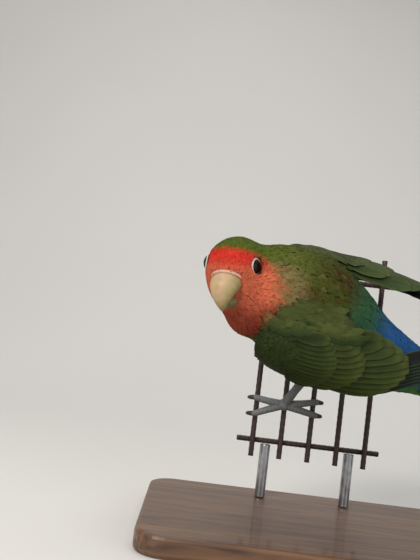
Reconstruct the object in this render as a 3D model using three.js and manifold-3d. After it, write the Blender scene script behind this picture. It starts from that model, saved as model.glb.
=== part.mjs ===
import * as THREE from "three";
import { mergeVertices } from "three/addons/utils/BufferGeometryUtils.js";
import Module from "manifold-3d";

const wasm = await Module();
wasm.setup();

// Millimetres. The perch's wire plane is y = 0, the bird is in front of it at y < 0, and +Z is up.
// A group at the end moves all this so that the origin is under the middle of the stand's base.

// Driving dimensions of the perch and its stand
const GAP = 0.3;
const WIRE_DIAMETER = 2.1;
const WIRE_PITCH = 11;
const WIRE_COUNT = 5;
const FIRST_WIRE_X = 24;
const WIRE_TOP_Z = 16;
const WIRE_BOTTOM_Z = -66;
const UPPER_CROSS_Z = 6;
const LOWER_CROSS_Z = -60;
const CROSS_OVERHANG = 6;
const BASE_WIDTH = 128;
const BASE_DEPTH = 84;
const BASE_THICKNESS = 7;
const BASE_CORNER = 10;
const BASE_X = 50;
const BASE_Y = -24;
const BASE_TOP_Z = -82;
const ROD_DIAMETER = 4;
const ROD_SPACING = 33;

// Driving dimensions of the bird
const BODY_CENTRE = [41.4, -32, -11.3];
const BODY_FORWARD = [-0.927, 0, 0.375];
const BODY_LEFT = [-0.24, -0.77, -0.593];
const HEAD_CENTRE = [35.2, 8.1, 5.6];
const BILL_YAW = 71;
const BILL_PITCH = -12;
const EYE_RADIUS = 3.3;
const EYE_FORWARD = 5.2;
const EYE_SIDE = 6.5;
const EYE_UP = 3.1;
const LID_RADIUS = 2.75;
const LID_THICKNESS = 1.2;
const LID_LIFT = 2.1;
const VANE_THICKNESS = 0.5;
const VANE_STEP = 0.82;
const TOE_RADIUS = 1.5;
const PAD_RADIUS = 2.3;
const NECK_BACK = 16;
const NECK_FRONT = 24;
const RUMP_FRONT = -28;
const RUMP_BACK = -41;
const WING_LENGTH = 104;
const SECONDARIES = 8;
const PRIMARIES = 7;
const TAIL_LENGTH = 50;
const TAIL_PAIRS = 5;
const COVERT_PAIRS = 2;

const vec = (x, y, z) => new THREE.Vector3(x, y, z);
const radians = THREE.MathUtils.degToRad;
const mix = THREE.MathUtils.lerp;
const clamp = THREE.MathUtils.clamp;

// A right-handed frame that turns its own coordinates into the perch's and back
function makeFrame(origin, forward, left) {
  const f = forward.clone().normalize();
  const u = vec(0, 0, 0).crossVectors(f, left).normalize();
  const l = vec(0, 0, 0).crossVectors(u, f);
  const matrix = new THREE.Matrix4().makeBasis(f, l, u).setPosition(origin);
  const inverse = matrix.clone().invert();
  return {
    forward: f,
    left: l,
    up: u,
    at: (x, y, z) => vec(x, y, z).applyMatrix4(matrix),
    inside: (p) => p.clone().applyMatrix4(inverse),
    turn: (x, y, z) => vec(0, 0, 0).addScaledVector(f, x).addScaledVector(l, y).addScaledVector(u, z),
  };
}

const body = makeFrame(vec(...BODY_CENTRE), vec(...BODY_FORWARD), vec(...BODY_LEFT));
const yaw = radians(BILL_YAW);
const pitch = radians(BILL_PITCH);
const level = Math.cos(pitch);
const billDirection = vec(-Math.cos(yaw) * level, -Math.sin(yaw) * level, Math.sin(pitch));
const headLeft = vec(Math.sin(yaw), -Math.cos(yaw), 0);
const head = makeFrame(body.at(...HEAD_CENTRE), billDirection, headLeft);

// Solids from geometry, with shared vertices merged and faces turned outward
function solidOf(geometry) {
  const bare = new THREE.BufferGeometry();
  bare.setAttribute("position", geometry.getAttribute("position").clone());
  if (geometry.index) bare.setIndex(geometry.index.clone());
  const merged = mergeVertices(bare, 1e-4);
  const triVerts = new Uint32Array(merged.index.array);
  const points = merged.getAttribute("position");
  if (signedVolume(points, triVerts) < 0) {
    for (let i = 0; i < triVerts.length; i += 3) {
      [triVerts[i + 1], triVerts[i + 2]] = [triVerts[i + 2], triVerts[i + 1]];
    }
  }
  const vertProperties = new Float32Array(points.array);
  return new wasm.Manifold(new wasm.Mesh({ numProp: 3, vertProperties, triVerts }));
}

function signedVolume(points, triangles) {
  let sum = 0;
  const a = vec(0, 0, 0);
  const b = vec(0, 0, 0);
  const c = vec(0, 0, 0);
  for (let i = 0; i < triangles.length; i += 3) {
    a.fromBufferAttribute(points, triangles[i]);
    b.fromBufferAttribute(points, triangles[i + 1]);
    c.fromBufferAttribute(points, triangles[i + 2]);
    sum += a.dot(b.cross(c));
  }
  return sum;
}

const fuse = (solids) => solids.reduce((sum, next) => sum.add(next));

function largestOf(solid) {
  const pieces = solid.decompose();
  return pieces.reduce((best, next) => (next.volume() > best.volume() ? next : best));
}

const group = new THREE.Group();
group.position.set(-BASE_X, -BASE_Y, BASE_THICKNESS - BASE_TOP_Z);

function addNode(name, solid, material) {
  const made = largestOf(solid).getMesh();
  const geometry = new THREE.BufferGeometry();
  geometry.setAttribute("position", new THREE.Float32BufferAttribute(made.vertProperties, 3));
  geometry.setIndex(new THREE.Uint32BufferAttribute(made.triVerts, 1));
  geometry.computeVertexNormals();
  const mesh = new THREE.Mesh(geometry, material);
  mesh.name = name;
  group.add(mesh);
}

const paint = (color, roughness, metalness = 0) =>
  new THREE.MeshStandardMaterial({ color, roughness, metalness });

// Closed surfaces from a field that is negative inside, by a vertex in each crossed cell of a grid
function surfaceOf(field, low, high, cell) {
  const count = [0, 1, 2].map((i) => Math.ceil((high[i] - low[i]) / cell) + 2);
  const pointAt = (i, j, k) => vec(low[0] + i * cell, low[1] + j * cell, low[2] + k * cell);
  const at = (i, j, k) => i + count[0] * (j + count[1] * k);
  const values = new Float64Array(count[0] * count[1] * count[2]);
  for (let k = 0; k < count[2]; k += 1) {
    for (let j = 0; j < count[1]; j += 1) {
      for (let i = 0; i < count[0]; i += 1) values[at(i, j, k)] = field(pointAt(i, j, k));
    }
  }
  const positions = [];
  const vertexOf = new Map();
  const cellVertex = (i, j, k) => {
    const key = at(i, j, k);
    if (!vertexOf.has(key)) {
      const p = settle(field, crossingMean(values, at, pointAt, i, j, k), cell);
      vertexOf.set(key, positions.length / 3);
      positions.push(p.x, p.y, p.z);
    }
    return vertexOf.get(key);
  };
  const index = [];
  const steps = [[1, 0, 0], [0, 1, 0], [0, 0, 1]];
  for (let k = 1; k < count[2] - 1; k += 1) {
    for (let j = 1; j < count[1] - 1; j += 1) {
      for (let i = 1; i < count[0] - 1; i += 1) {
        steps.forEach((step, axis) => {
          const here = values[at(i, j, k)] < 0;
          const there = values[at(i + step[0], j + step[1], k + step[2])] < 0;
          if (here === there) return;
          const v = steps[(axis + 1) % 3];
          const w = steps[(axis + 2) % 3];
          const quad = [
            cellVertex(i, j, k),
            cellVertex(i - v[0], j - v[1], k - v[2]),
            cellVertex(i - v[0] - w[0], j - v[1] - w[1], k - v[2] - w[2]),
            cellVertex(i - w[0], j - w[1], k - w[2]),
          ];
          if (!here) quad.reverse();
          splitQuad(positions, quad, index);
        });
      }
    }
  }
  const geometry = new THREE.BufferGeometry();
  geometry.setAttribute("position", new THREE.Float32BufferAttribute(positions, 3));
  geometry.setIndex(index);
  return solidOf(geometry);
}

function splitQuad(positions, quad, index) {
  const [a, b, c, d] = quad;
  const p = (i) => vec(positions[3 * i], positions[3 * i + 1], positions[3 * i + 2]);
  if (p(a).distanceTo(p(c)) < p(b).distanceTo(p(d))) index.push(a, b, c, a, c, d);
  else index.push(a, b, d, b, c, d);
}

function crossingMean(values, at, pointAt, i, j, k) {
  const sum = vec(0, 0, 0);
  let crossed = 0;
  for (let corner = 0; corner < 8; corner += 1) {
    const from = [i + (corner & 1), j + ((corner >> 1) & 1), k + (corner >> 2)];
    for (let axis = 0; axis < 3; axis += 1) {
      if ((corner >> axis) & 1) continue;
      const to = [...from];
      to[axis] += 1;
      const a = values[at(...from)];
      const b = values[at(...to)];
      if (a < 0 === b < 0) continue;
      sum.add(pointAt(...from).lerp(pointAt(...to), a / (a - b)));
      crossed += 1;
    }
  }
  return sum.divideScalar(crossed);
}

function gradientOf(field, p) {
  const e = 0.05;
  const shifted = (x, y, z) => field(p.clone().add(vec(x, y, z)));
  const slope = (x, y, z) => (shifted(x, y, z) - shifted(-x, -y, -z)) / (2 * e);
  return vec(slope(e, 0, 0), slope(0, e, 0), slope(0, 0, e));
}

// A grid vertex slid onto the true surface, by less than half a cell
function settle(field, p, cell) {
  const q = p.clone();
  for (let step = 0; step < 2; step += 1) {
    const slope = gradientOf(field, q);
    const reach = -field(q) / Math.max(slope.lengthSq(), 0.05);
    q.addScaledVector(slope, clamp(reach, -0.3 * cell, 0.3 * cell));
  }
  return q;
}

// Field pieces: an ellipsoid in a frame, a tapered capsule, and a rounded union of two
function ellipsoid(frame, centre, radii) {
  return (p) => {
    const q = frame.inside(p).sub(vec(...centre));
    const scaled = vec(q.x / radii[0], q.y / radii[1], q.z / radii[2]);
    const outer = scaled.length();
    const inner = vec(scaled.x / radii[0], scaled.y / radii[1], scaled.z / radii[2]).length();
    return inner < 1e-9 ? -Math.min(...radii) : (outer * (outer - 1)) / inner;
  };
}

function capsule(from, to, radiusFrom, radiusTo) {
  const along = to.clone().sub(from);
  return (p) => {
    const t = clamp(p.clone().sub(from).dot(along) / along.lengthSq(), 0, 1);
    return p.distanceTo(from.clone().addScaledVector(along, t)) - mix(radiusFrom, radiusTo, t);
  };
}

function blend(a, b, width) {
  return (p) => {
    const da = a(p);
    const db = b(p);
    const h = Math.max(width - Math.abs(da - db), 0) / width;
    return Math.min(da, db) - h * h * width * 0.25;
  };
}

// Flesh of the torso, neck and head as one rounded form
const breast = ellipsoid(body, [8, 0, 0], [26, 18.6, 20.5]);
const belly = ellipsoid(body, [-9, 1, -3], [24, 15, 15.5]);
const rump = ellipsoid(body, [-32, 0, 0], [17, 8.5, 8]);
const neckColumn = capsule(body.at(12, 1.5, 3), body.at(20.8, 3.2, 5.2), 17, 13.8);
const skull = ellipsoid(head, [-1, 0.5, 0.6], [11.8, 9.7, 11.4]);
const brow = ellipsoid(head, [3.6, 0, 2.2], [7.6, 8.4, 7.6]);
const cheeks = ellipsoid(head, [1.2, 0.8, -5.2], [8.2, 7.8, 7.4]);
const bib = ellipsoid(head, [-2.6, 4, -12.6], [8, 7.4, 9]);

const torsoField = blend(blend(breast, belly, 8), rump, 8);
const headPieces = [neckColumn, skull, brow, cheeks, bib];
const fleshField = headPieces.reduce((sum, next) => blend(sum, next, 5), torsoField);

// A box that keeps one side of a cut: x in from and to along the frame's forward axis
function slab(frame, from, to) {
  const size = 200;
  const box = new THREE.BoxGeometry(to - from, size, size);
  const middle = frame.at((from + to) / 2, 0, 0);
  const matrix = new THREE.Matrix4().makeBasis(frame.forward, frame.left, frame.up).setPosition(middle);
  return solidOf(box.applyMatrix4(matrix));
}

function sphereAt(centre, radius, segments, rings) {
  const ball = new THREE.SphereGeometry(radius, segments, rings);
  return solidOf(ball.translate(centre.x, centre.y, centre.z));
}

// A tube of round sections with its own radius at each point of a smooth curve, closed at both ends
function taperedTube(points, radii, sides, steps) {
  const curve = new THREE.CatmullRomCurve3(points);
  const frames = curve.computeFrenetFrames(steps, false);
  const positions = [];
  const index = [];
  for (let i = 0; i <= steps; i += 1) {
    const t = i / steps;
    const centre = curve.getPoint(t);
    const place = t * (radii.length - 1);
    const slot = Math.min(Math.floor(place), radii.length - 2);
    const radius = mix(radii[slot], radii[slot + 1], place - slot);
    for (let j = 0; j < sides; j += 1) {
      const angle = (2 * Math.PI * j) / sides;
      const p = centre.clone();
      p.addScaledVector(frames.normals[i], radius * Math.cos(angle));
      p.addScaledVector(frames.binormals[i], radius * Math.sin(angle));
      positions.push(p.x, p.y, p.z);
    }
  }
  for (let i = 0; i < steps; i += 1) {
    for (let j = 0; j < sides; j += 1) {
      const a = i * sides + j;
      const b = i * sides + ((j + 1) % sides);
      index.push(a, a + sides, b, b, a + sides, b + sides);
    }
  }
  closeEnd(positions, index, 0, sides, curve.getPoint(0));
  closeEnd(positions, index, steps * sides, sides, curve.getPoint(1));
  const geometry = new THREE.BufferGeometry();
  geometry.setAttribute("position", new THREE.Float32BufferAttribute(positions, 3));
  geometry.setIndex(index);
  return solidOf(geometry);
}

function closeEnd(positions, index, first, sides, centre) {
  const middle = positions.length / 3;
  positions.push(centre.x, centre.y, centre.z);
  for (let j = 0; j < sides; j += 1) {
    const a = first + j;
    const b = first + ((j + 1) % sides);
    if (first === 0) index.push(middle, a, b);
    else index.push(middle, b, a);
  }
}

// A feather vane on a curved sheet: sheet(s, y, h) gives a point, s along, y across and h above it.
// Its two faces have the same triangles, three points across, and it tapers to a rounded tip.
const VANE_STATIONS = [0, 0.3, 0.68, 0.91, 1];
const VANE_WIDTHS = [0.3, 0.85, 1, 0.66, 0.2];

function vane(sheet, feather) {
  const positions = [];
  const index = [];
  VANE_STATIONS.forEach((t, i) => {
    const s = mix(feather.rootS, feather.tipS, t);
    const centre = feather.centreAt(s);
    const inner = Math.min(feather.halfWidth * VANE_WIDTHS[i], feather.innerRoom(s, centre));
    const outer = feather.halfWidth * VANE_WIDTHS[i];
    const thick = t === 1 ? VANE_THICKNESS * 0.7 : VANE_THICKNESS;
    const across = feather.plain ? [-outer, inner] : [-outer, 0, inner];
    [0.5, -0.5].forEach((side) => {
      across.forEach((offset, n) => {
        const ridge = offset === 0 ? 1.3 : 1;
        const height = feather.heightAt(s, offset) + side * thick * ridge;
        const p = sheet(s, centre + offset, height);
        positions.push(p.x, p.y, p.z);
      });
    });
  });
  const n = feather.plain ? 2 : 3;
  const last = VANE_STATIONS.length - 1;
  for (let i = 0; i < last; i += 1) {
    const a = 2 * n * i;
    const b = a + 2 * n;
    for (let j = 0; j < n - 1; j += 1) {
      index.push(a + j, a + j + 1, b + j, a + j + 1, b + j + 1, b + j);
      index.push(a + n + j, b + n + j, a + n + 1 + j, a + n + 1 + j, b + n + j, b + n + 1 + j);
    }
    index.push(a, b, a + n, b, b + n, a + n);
    index.push(a + n - 1, a + 2 * n - 1, b + n - 1, b + n - 1, a + 2 * n - 1, b + 2 * n - 1);
  }
  const e = 2 * n * last;
  for (let j = 0; j < n - 1; j += 1) {
    index.push(j, n + j, j + 1, j + 1, n + j, n + j + 1);
    index.push(e + j, e + j + 1, e + n + j, e + j + 1, e + n + j + 1, e + n + j);
  }
  const geometry = new THREE.BufferGeometry();
  geometry.setAttribute("position", new THREE.Float32BufferAttribute(positions, 3));
  geometry.setIndex(index);
  return solidOf(geometry);
}

// A sheet that follows a spine through points of the body frame. normals are angles in degrees
// round the body, 0 at its left and 90 at its back, and bends are one over the sheet's radius.
function sheetAlong(points, normals, bends, length) {
  const spine = new THREE.CatmullRomCurve3(points.map((p) => vec(...p)));
  const pick = (list, t) => {
    const place = clamp(t, 0, 1) * (list.length - 1);
    const slot = Math.min(Math.floor(place), list.length - 2);
    return mix(list[slot], list[slot + 1], THREE.MathUtils.smoothstep(place - slot, 0, 1));
  };
  return (s, y, h) => {
    const t = clamp(s / length, 0, 1);
    const along = spine.getTangent(t);
    const beyond = s - t * length;
    const centre = spine.getPoint(t).addScaledVector(along, beyond);
    const angle = radians(pick(normals, t));
    const normal = vec(0, Math.cos(angle), Math.sin(angle));
    normal.addScaledVector(along, -normal.dot(along)).normalize();
    const across = vec(0, 0, 0).crossVectors(normal, along).normalize();
    const bend = pick(bends, t);
    const turn = y * bend;
    const sideways = Math.abs(bend) < 1e-6 ? y : Math.sin(turn) / bend;
    const drop = Math.abs(bend) < 1e-6 ? 0 : (1 - Math.cos(turn)) / bend;
    const p = centre.addScaledVector(across, sideways).addScaledVector(normal, h - drop);
    return body.at(p.x, p.y, p.z);
  };
}

// Wings. y runs from the belly edge, below zero, to the back.
const leftWingSheet = sheetAlong(
  [[19, 18.8, -4.5], [-5, 18.4, 2.2], [-29, 9.8, 7.6], [-54, 1, 11.3], [-77, -7, 12.8]],
  [-9, 8, 38, 58, 66],
  [0.045, 0.045, 0.035, 0.02, 0.01],
  WING_LENGTH,
);
const rightWingSheet = sheetAlong(
  [[19, -18.6, -1], [-6, -18.6, 11], [-30, -23.4, 13.2], [-55, -29.3, 18.4], [-79, -35, 24.2]],
  [176, 116, 119, 126, 131],
  [0.045, 0.042, 0.035, 0.02, 0.01],
  WING_LENGTH,
);

const step = THREE.MathUtils.smoothstep;
const noLimit = () => Infinity;

function wing(side, sheet, flip) {
  const turned = (s, y, h) => sheet(s, y * flip, h);
  const parts = [lens(turned, { fromS: 0, toS: 25, fromY: -13, toY: 12, low: 4.2, high: 7.6 })];
  for (let k = 0; k < SECONDARIES; k += 1) {
    const place = k / (SECONDARIES - 1);
    const rootY = mix(-9, 9, place);
    const tipY = mix(-9.5, 7, place);
    const centreAt = (s) => mix(rootY, tipY, (s - 12) / 45);
    const pitchAt = (s) => mix(18, 16.5, (s - 12) / 45) / (SECONDARIES - 1);
    const shingled = (base) => (s, offset) => base - (VANE_STEP * offset) / pitchAt(s);
    const common = { centreAt, innerRoom: noLimit };
    const tipS = 51 - 0.1 * tipY ** 2 - 0.7 * Math.max(tipY, 0);
    const rootS = 19 - 0.05 * rootY ** 2;
    parts.push(vane(turned, { ...common, rootS, tipS, halfWidth: 3.7, heightAt: shingled(5.0) }));
    const covertTip = 34 - 0.06 * tipY ** 2;
    const covert = { ...common, rootS: rootS - 5, tipS: covertTip, halfWidth: 2.05, plain: true };
    parts.push(vane(turned, { ...covert, heightAt: shingled(6.7) }));
  }
  addNode("wing_" + side, fuse(parts).subtract(torsoRoom), materials.wing);
  const hand = [lens(turned, { fromS: 7, toS: 29, fromY: -14.5, toY: -3, low: 0.3, high: 2.9 })];
  for (let k = 0; k < PRIMARIES; k += 1) {
    const place = k / (PRIMARIES - 1);
    const lower = (s) => mix(-12.5, -2.5, step(s, 34, 64));
    const spread = (s) => mix(8.5, 7, step(s, 34, 64));
    const centreAt = (s) => lower(s) + spread(s) * place;
    const heightAt = (s, offset) => 1.6 - (VANE_STEP * offset * (PRIMARIES - 1)) / spread(s);
    const tipS = WING_LENGTH - 1.2 * (k - 0.8) ** 2;
    hand.push(vane(turned, { rootS: 20, tipS, centreAt, innerRoom: noLimit, halfWidth: 2.4, heightAt }));
  }
  addNode("wing_" + side + "_primaries", fuse(hand).subtract(torsoRoom), materials.primaries);
}

// A rounded flat body on a sheet, thickest in its middle
function lens(sheet, size) {
  const sides = 16;
  const rings = 4;
  const positions = [];
  const index = [];
  const middleS = (size.fromS + size.toS) / 2;
  const middleY = (size.fromY + size.toY) / 2;
  const place = (ring, j, face) => {
    const r = ring / rings;
    const angle = (2 * Math.PI * j) / sides;
    const swell = Math.sqrt(Math.max(0, 1 - r * r));
    const s = middleS + ((size.toS - size.fromS) / 2) * r * Math.cos(angle);
    const y = middleY + ((size.toY - size.fromY) / 2) * r * Math.sin(angle);
    const rim = mix(size.low, size.high, 0.35);
    return sheet(s, y, face > 0 ? mix(rim, size.high, swell) : mix(rim, size.low, swell));
  };
  const put = (p) => {
    positions.push(p.x, p.y, p.z);
    return positions.length / 3 - 1;
  };
  const top = [];
  const bottom = [];
  for (let ring = 1; ring <= rings; ring += 1) {
    top.push([...Array(sides).keys()].map((j) => put(place(ring, j, 1))));
    if (ring === rings) bottom.push(top[rings - 1]);
    else bottom.push([...Array(sides).keys()].map((j) => put(place(ring, j, -1))));
  }
  const crown = put(place(0, 0, 1));
  const foot = put(place(0, 0, -1));
  for (let j = 0; j < sides; j += 1) {
    const n = (j + 1) % sides;
    index.push(crown, top[0][j], top[0][n], foot, bottom[0][n], bottom[0][j]);
    for (let ring = 1; ring < rings; ring += 1) {
      const [a, b] = [top[ring - 1], top[ring]];
      index.push(a[j], b[j], a[n], a[n], b[j], b[n]);
      const [c, d] = [bottom[ring - 1], bottom[ring]];
      index.push(c[j], c[n], d[j], c[n], d[n], d[j]);
    }
  }
  const geometry = new THREE.BufferGeometry();
  geometry.setAttribute("position", new THREE.Float32BufferAttribute(positions, 3));
  geometry.setIndex(index);
  return solidOf(geometry);
}

const materials = {
  face: paint(0xcc5a3c, 0.85),
  green: paint(0x5f7a35, 0.85),
  neck: paint(0x6f7f45, 0.85),
  wing: paint(0x47592a, 0.8),
  primaries: paint(0x33332a, 0.75),
  tail: paint(0x3f6a66, 0.75),
  rump: paint(0x2f74a0, 0.8),
  bill: paint(0xc9ba96, 0.4),
  cere: paint(0xe2cdc2, 0.7),
  eye: paint(0x140d0a, 0.1),
  leg: paint(0x7c8186, 0.7),
  claw: paint(0x2f2c2b, 0.4),
  wire: paint(0x2c201c, 0.5, 0.6),
  rod: paint(0x8d8f92, 0.35, 0.9),
  base: paint(0x4a3a2e, 0.55),
};

// Torso, rump, neck and head
const fleshLow = [-20, -75, -70];
const fleshHigh = [95, 15, 45];
const torsoSolid = surfaceOf(fleshField, fleshLow, fleshHigh, 4.1);
const torsoRoom = surfaceOf((p) => fleshField(p) - GAP * 1.5, fleshLow, fleshHigh, 4.1);
const neckFrame = makeFrame(body.at(0, 0, 0), body.turn(1, 0.12, 0.1), body.left);
const torsoFront = slab(neckFrame, -60, NECK_BACK - GAP / 2);
addNode("torso", torsoSolid.intersect(torsoFront).intersect(slab(body, RUMP_FRONT, 60)), materials.green);
const fineFlesh = surfaceOf(fleshField, fleshLow, fleshHigh, 3.5);
const neckPart = slab(neckFrame, NECK_BACK + GAP / 2, NECK_FRONT - GAP / 2);
addNode("neck", fineFlesh.intersect(neckPart), materials.neck);

// The bill's sections run down a hook. grow makes the same form larger, to cut room for it.
function hook(stations, grow) {
  const sides = 12;
  const positions = [];
  const index = [];
  stations.forEach(([forward, z, halfWidth, halfHeight, tilt], i) => {
    const x = i === 0 ? forward - grow : forward;
    for (let j = 0; j < sides; j += 1) {
      const angle = (2 * Math.PI * j) / sides;
      const side = (halfWidth + grow) * Math.cos(angle);
      const rise = (halfHeight + grow) * Math.sin(angle);
      const p = head.at(x + rise * Math.sin(radians(tilt)), side, z + rise * Math.cos(radians(tilt)));
      positions.push(p.x, p.y, p.z);
    }
  });
  const last = stations.length - 1;
  for (let i = 0; i < last; i += 1) {
    for (let j = 0; j < sides; j += 1) {
      const a = i * sides + j;
      const b = i * sides + ((j + 1) % sides);
      index.push(a, a + sides, b, b, a + sides, b + sides);
    }
  }
  closeEnd(positions, index, 0, sides, head.at(stations[0][0] - grow, 0, stations[0][1]));
  const [tip, before] = [stations[last], stations[last - 1]];
  const reach = (0.3 + grow) / Math.hypot(tip[0] - before[0], tip[1] - before[1]);
  const point = head.at(tip[0] + (tip[0] - before[0]) * reach, 0, tip[1] + (tip[1] - before[1]) * reach);
  closeEnd(positions, index, last * sides, sides, point);
  const geometry = new THREE.BufferGeometry();
  geometry.setAttribute("position", new THREE.Float32BufferAttribute(positions, 3));
  geometry.setIndex(index);
  return solidOf(geometry);
}

// Each station: forward, up, half width, half height and the section's lean in degrees
const upperBill = [
  [6.8, -2.4, 5.0, 3.9, 0],
  [9.8, -2.4, 5.15, 4.0, 12],
  [12.3, -3.4, 4.75, 3.7, 38],
  [13.6, -5.4, 3.9, 3.1, 62],
  [13.8, -7.7, 2.75, 2.2, 82],
  [13.2, -9.9, 1.4, 1.2, 100],
  [12.5, -11.3, 0.4, 0.4, 108],
];
const lowerBill = [
  [5.0, -8.4, 3.8, 2.5, 0],
  [8.0, -8.5, 3.9, 2.5, 0],
  [10.4, -8.5, 3.3, 2.1, -10],
  [11.9, -8.2, 2.1, 1.2, -20],
];
const cereHalf = [[11.8, 1.9, 1.4], [10.5, 4.5, 0.2], [8.8, 5.6, -1.8]];
const cereArc = [...cereHalf.map(([x, y, z]) => [x, -y, z]).reverse(), ...cereHalf];
const cereRadii = [0.5, 0.8, 1, 0.8, 0.5];
const cereBand = (grow) =>
  taperedTube(cereArc.map((p) => head.at(...p)), cereRadii.map((r) => r + grow), 7, 9);

const eyeCentre = (side) => head.at(EYE_FORWARD, side * EYE_SIDE, EYE_UP);
const eyeAxis = (side) => head.turn(0.22, side * 0.95, 0.1).normalize();

function lidRing(side) {
  const ring = new THREE.TorusGeometry(LID_RADIUS, LID_THICKNESS / 2, 6, 14);
  ring.scale(1.05, 1, 1);
  ring.applyQuaternion(new THREE.Quaternion().setFromUnitVectors(vec(0, 0, 1), eyeAxis(side)));
  const centre = eyeCentre(side).addScaledVector(eyeAxis(side), LID_LIFT);
  return solidOf(ring.translate(centre.x, centre.y, centre.z));
}

const headSurface = surfaceOf(fleshField, fleshLow, fleshHigh, 3.1);
let headSolid = headSurface.intersect(slab(neckFrame, NECK_FRONT + GAP / 2, 90));
const upperBillRoom = hook(upperBill, GAP);
const lowerBillRoom = hook(lowerBill, GAP);
[1, -1].forEach((side) => {
  const opening = eyeCentre(side).addScaledVector(eyeAxis(side), 3.9);
  headSolid = headSolid.subtract(sphereAt(opening, 2.8, 12, 6)).add(lidRing(side));
  headSolid = headSolid.subtract(sphereAt(eyeCentre(side), EYE_RADIUS + 1.3 * GAP, 14, 9));
});
headSolid = headSolid.subtract(upperBillRoom).subtract(lowerBillRoom).subtract(cereBand(GAP));
addNode("head", headSolid, materials.face);
addNode("bill_upper", hook(upperBill, 0), materials.bill);
addNode("bill_lower", hook(lowerBill, 0).subtract(upperBillRoom), materials.bill);
let cereSolid = cereBand(0).subtract(upperBillRoom);
[1, -1].forEach((side) => {
  cereSolid = cereSolid.subtract(sphereAt(head.at(12.3, side * 2.2, 2.1), 0.55, 8, 6));
});
addNode("cere", cereSolid, materials.cere);
[["eye_left", 1], ["eye_right", -1]].forEach(([name, side]) => {
  addNode(name, sphereAt(eyeCentre(side), EYE_RADIUS, 14, 9), materials.eye);
});

// Tail: feathers in pairs under a middle one, and shorter tail coverts over and under their roots
const tailSheet = (s, y, h) => {
  const bend = 0.035;
  const p = vec(-38 - s, Math.sin(y * bend) / bend, 1 - 0.03 * s + h - (1 - Math.cos(y * bend)) / bend);
  return body.at(p.x, p.y, p.z);
};

function pairedFan(parts, fan) {
  const { pairs, rootS, length, shorter, rootSpread, tipSpread, halfWidth, level, face } = fan;
  for (let k = 1; k <= pairs; k += 1) {
    [1, -1].forEach((side) => {
      const sheet = (s, y, h) => tailSheet(s, y * side, h);
      const open = (s) => clamp((s - rootS) / length, 0, 1);
      const centreAt = (s) => -mix(rootSpread, tipSpread, open(s)) * (k - 0.2);
      const pitchAt = (s) => mix(rootSpread, tipSpread, open(s));
      const innerRoom = (s, centre) => Math.max(-centre - 0.35, 0.25);
      const heightAt = (s, offset) => level - (face * VANE_STEP * offset) / Math.max(pitchAt(s), 1.2);
      const tipS = rootS + length - shorter * k;
      parts.push(vane(sheet, { rootS, tipS, centreAt, innerRoom, halfWidth, heightAt, plain: fan.plain }));
    });
  }
}

function middleVane(parts, size) {
  const common = { innerRoom: noLimit, centreAt: () => size.centre, heightAt: () => size.level };
  parts.push(vane(tailSheet, { ...common, rootS: size.rootS, tipS: size.tipS, halfWidth: size.halfWidth }));
}

const tailParts = [lens(tailSheet, { fromS: 3.4, toS: 17, fromY: -5, toY: 5, low: -1.8, high: 3.2 })];
pairedFan(tailParts, {
  pairs: TAIL_PAIRS,
  rootS: 6,
  length: TAIL_LENGTH - 4,
  shorter: 1.5,
  rootSpread: 1.1,
  tipSpread: 2.3,
  halfWidth: 4.4,
  level: 0,
  face: 1,
});
const middleTail = { rootS: 6, halfWidth: 4.5 };
middleVane(tailParts, { ...middleTail, centre: 0.75, level: 1.9, tipS: TAIL_LENGTH + 2.4 });
middleVane(tailParts, { ...middleTail, centre: -0.75, level: 2.75, tipS: TAIL_LENGTH + 3 });
addNode("tail", fuse(tailParts), materials.tail);

const rumpParts = [torsoSolid.intersect(slab(body, RUMP_BACK, RUMP_FRONT - GAP))];
const covertFan = { pairs: COVERT_PAIRS, rootS: -3, shorter: 2.5, halfWidth: 3.3, plain: true };
const covertSpread = { rootSpread: 1.6, tipSpread: 2.6 };
pairedFan(rumpParts, { ...covertFan, ...covertSpread, length: 26, level: 4.7, face: 1 });
middleVane(rumpParts, { centre: 0, level: 6.2, rootS: -3, tipS: 26, halfWidth: 3.5 });
pairedFan(rumpParts, { ...covertFan, ...covertSpread, length: 24, level: -3.5, face: -1 });
middleVane(rumpParts, { centre: 0, level: -5.0, rootS: -3, tipS: 24, halfWidth: 3.5 });
addNode("rump", fuse(rumpParts), materials.rump);

wing("left", leftWingSheet, 1);
wing("right", rightWingSheet, -1);

// Legs: a feathered thigh, a scaly shank and a foot of two front and two back toes with claws
const wireX = (i) => FIRST_WIRE_X + i * WIRE_PITCH;
const feet = {
  left: { pad: [34.2, -3.4, -44.7], ankle: [40.4, -11.2, -32.5], hip: [2, 7.5, -10] },
  right: { pad: [46.4, -3.4, -24], ankle: [56.2, -11.5, -28.1], hip: [-2, -9, -9] },
};
feet.left.front = wireX(0);
feet.left.back = wireX(2);
feet.right.front = wireX(1);
feet.right.back = wireX(3);

const toeY = -(WIRE_DIAMETER / 2 + GAP + TOE_RADIUS);

function toeSolid(pad, toe, grow) {
  const end = vec(toe.wireX + toe.away * 1.2, toeY + 0.15, pad.z + toe.rise);
  const middle = pad.clone().lerp(end, 0.5).add(vec(0, -0.7, 0));
  const start = pad.clone().add(vec(0, 0.2, 0));
  const radii = [1.9, TOE_RADIUS, 1.2].map((r) => r + grow);
  return taperedTube([start, middle, end.add(vec(toe.away * grow, 0, 0))], radii, 7, 4);
}

function clawSolid(pad, toe) {
  const end = vec(toe.wireX + toe.away * 1.2, toeY + 0.15, pad.z + toe.rise);
  const points = [[0.2 + GAP, 0, 0], [1.9, 1.1, -0.2], [2.0, 3.1, -0.5], [1.0, 4.5, -0.8]];
  const curve = points.map(([x, y, z]) => end.clone().add(vec(toe.away * x, y, z)));
  return taperedTube(curve, [0.95, 0.75, 0.5, 0.15], 6, 5);
}

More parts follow.
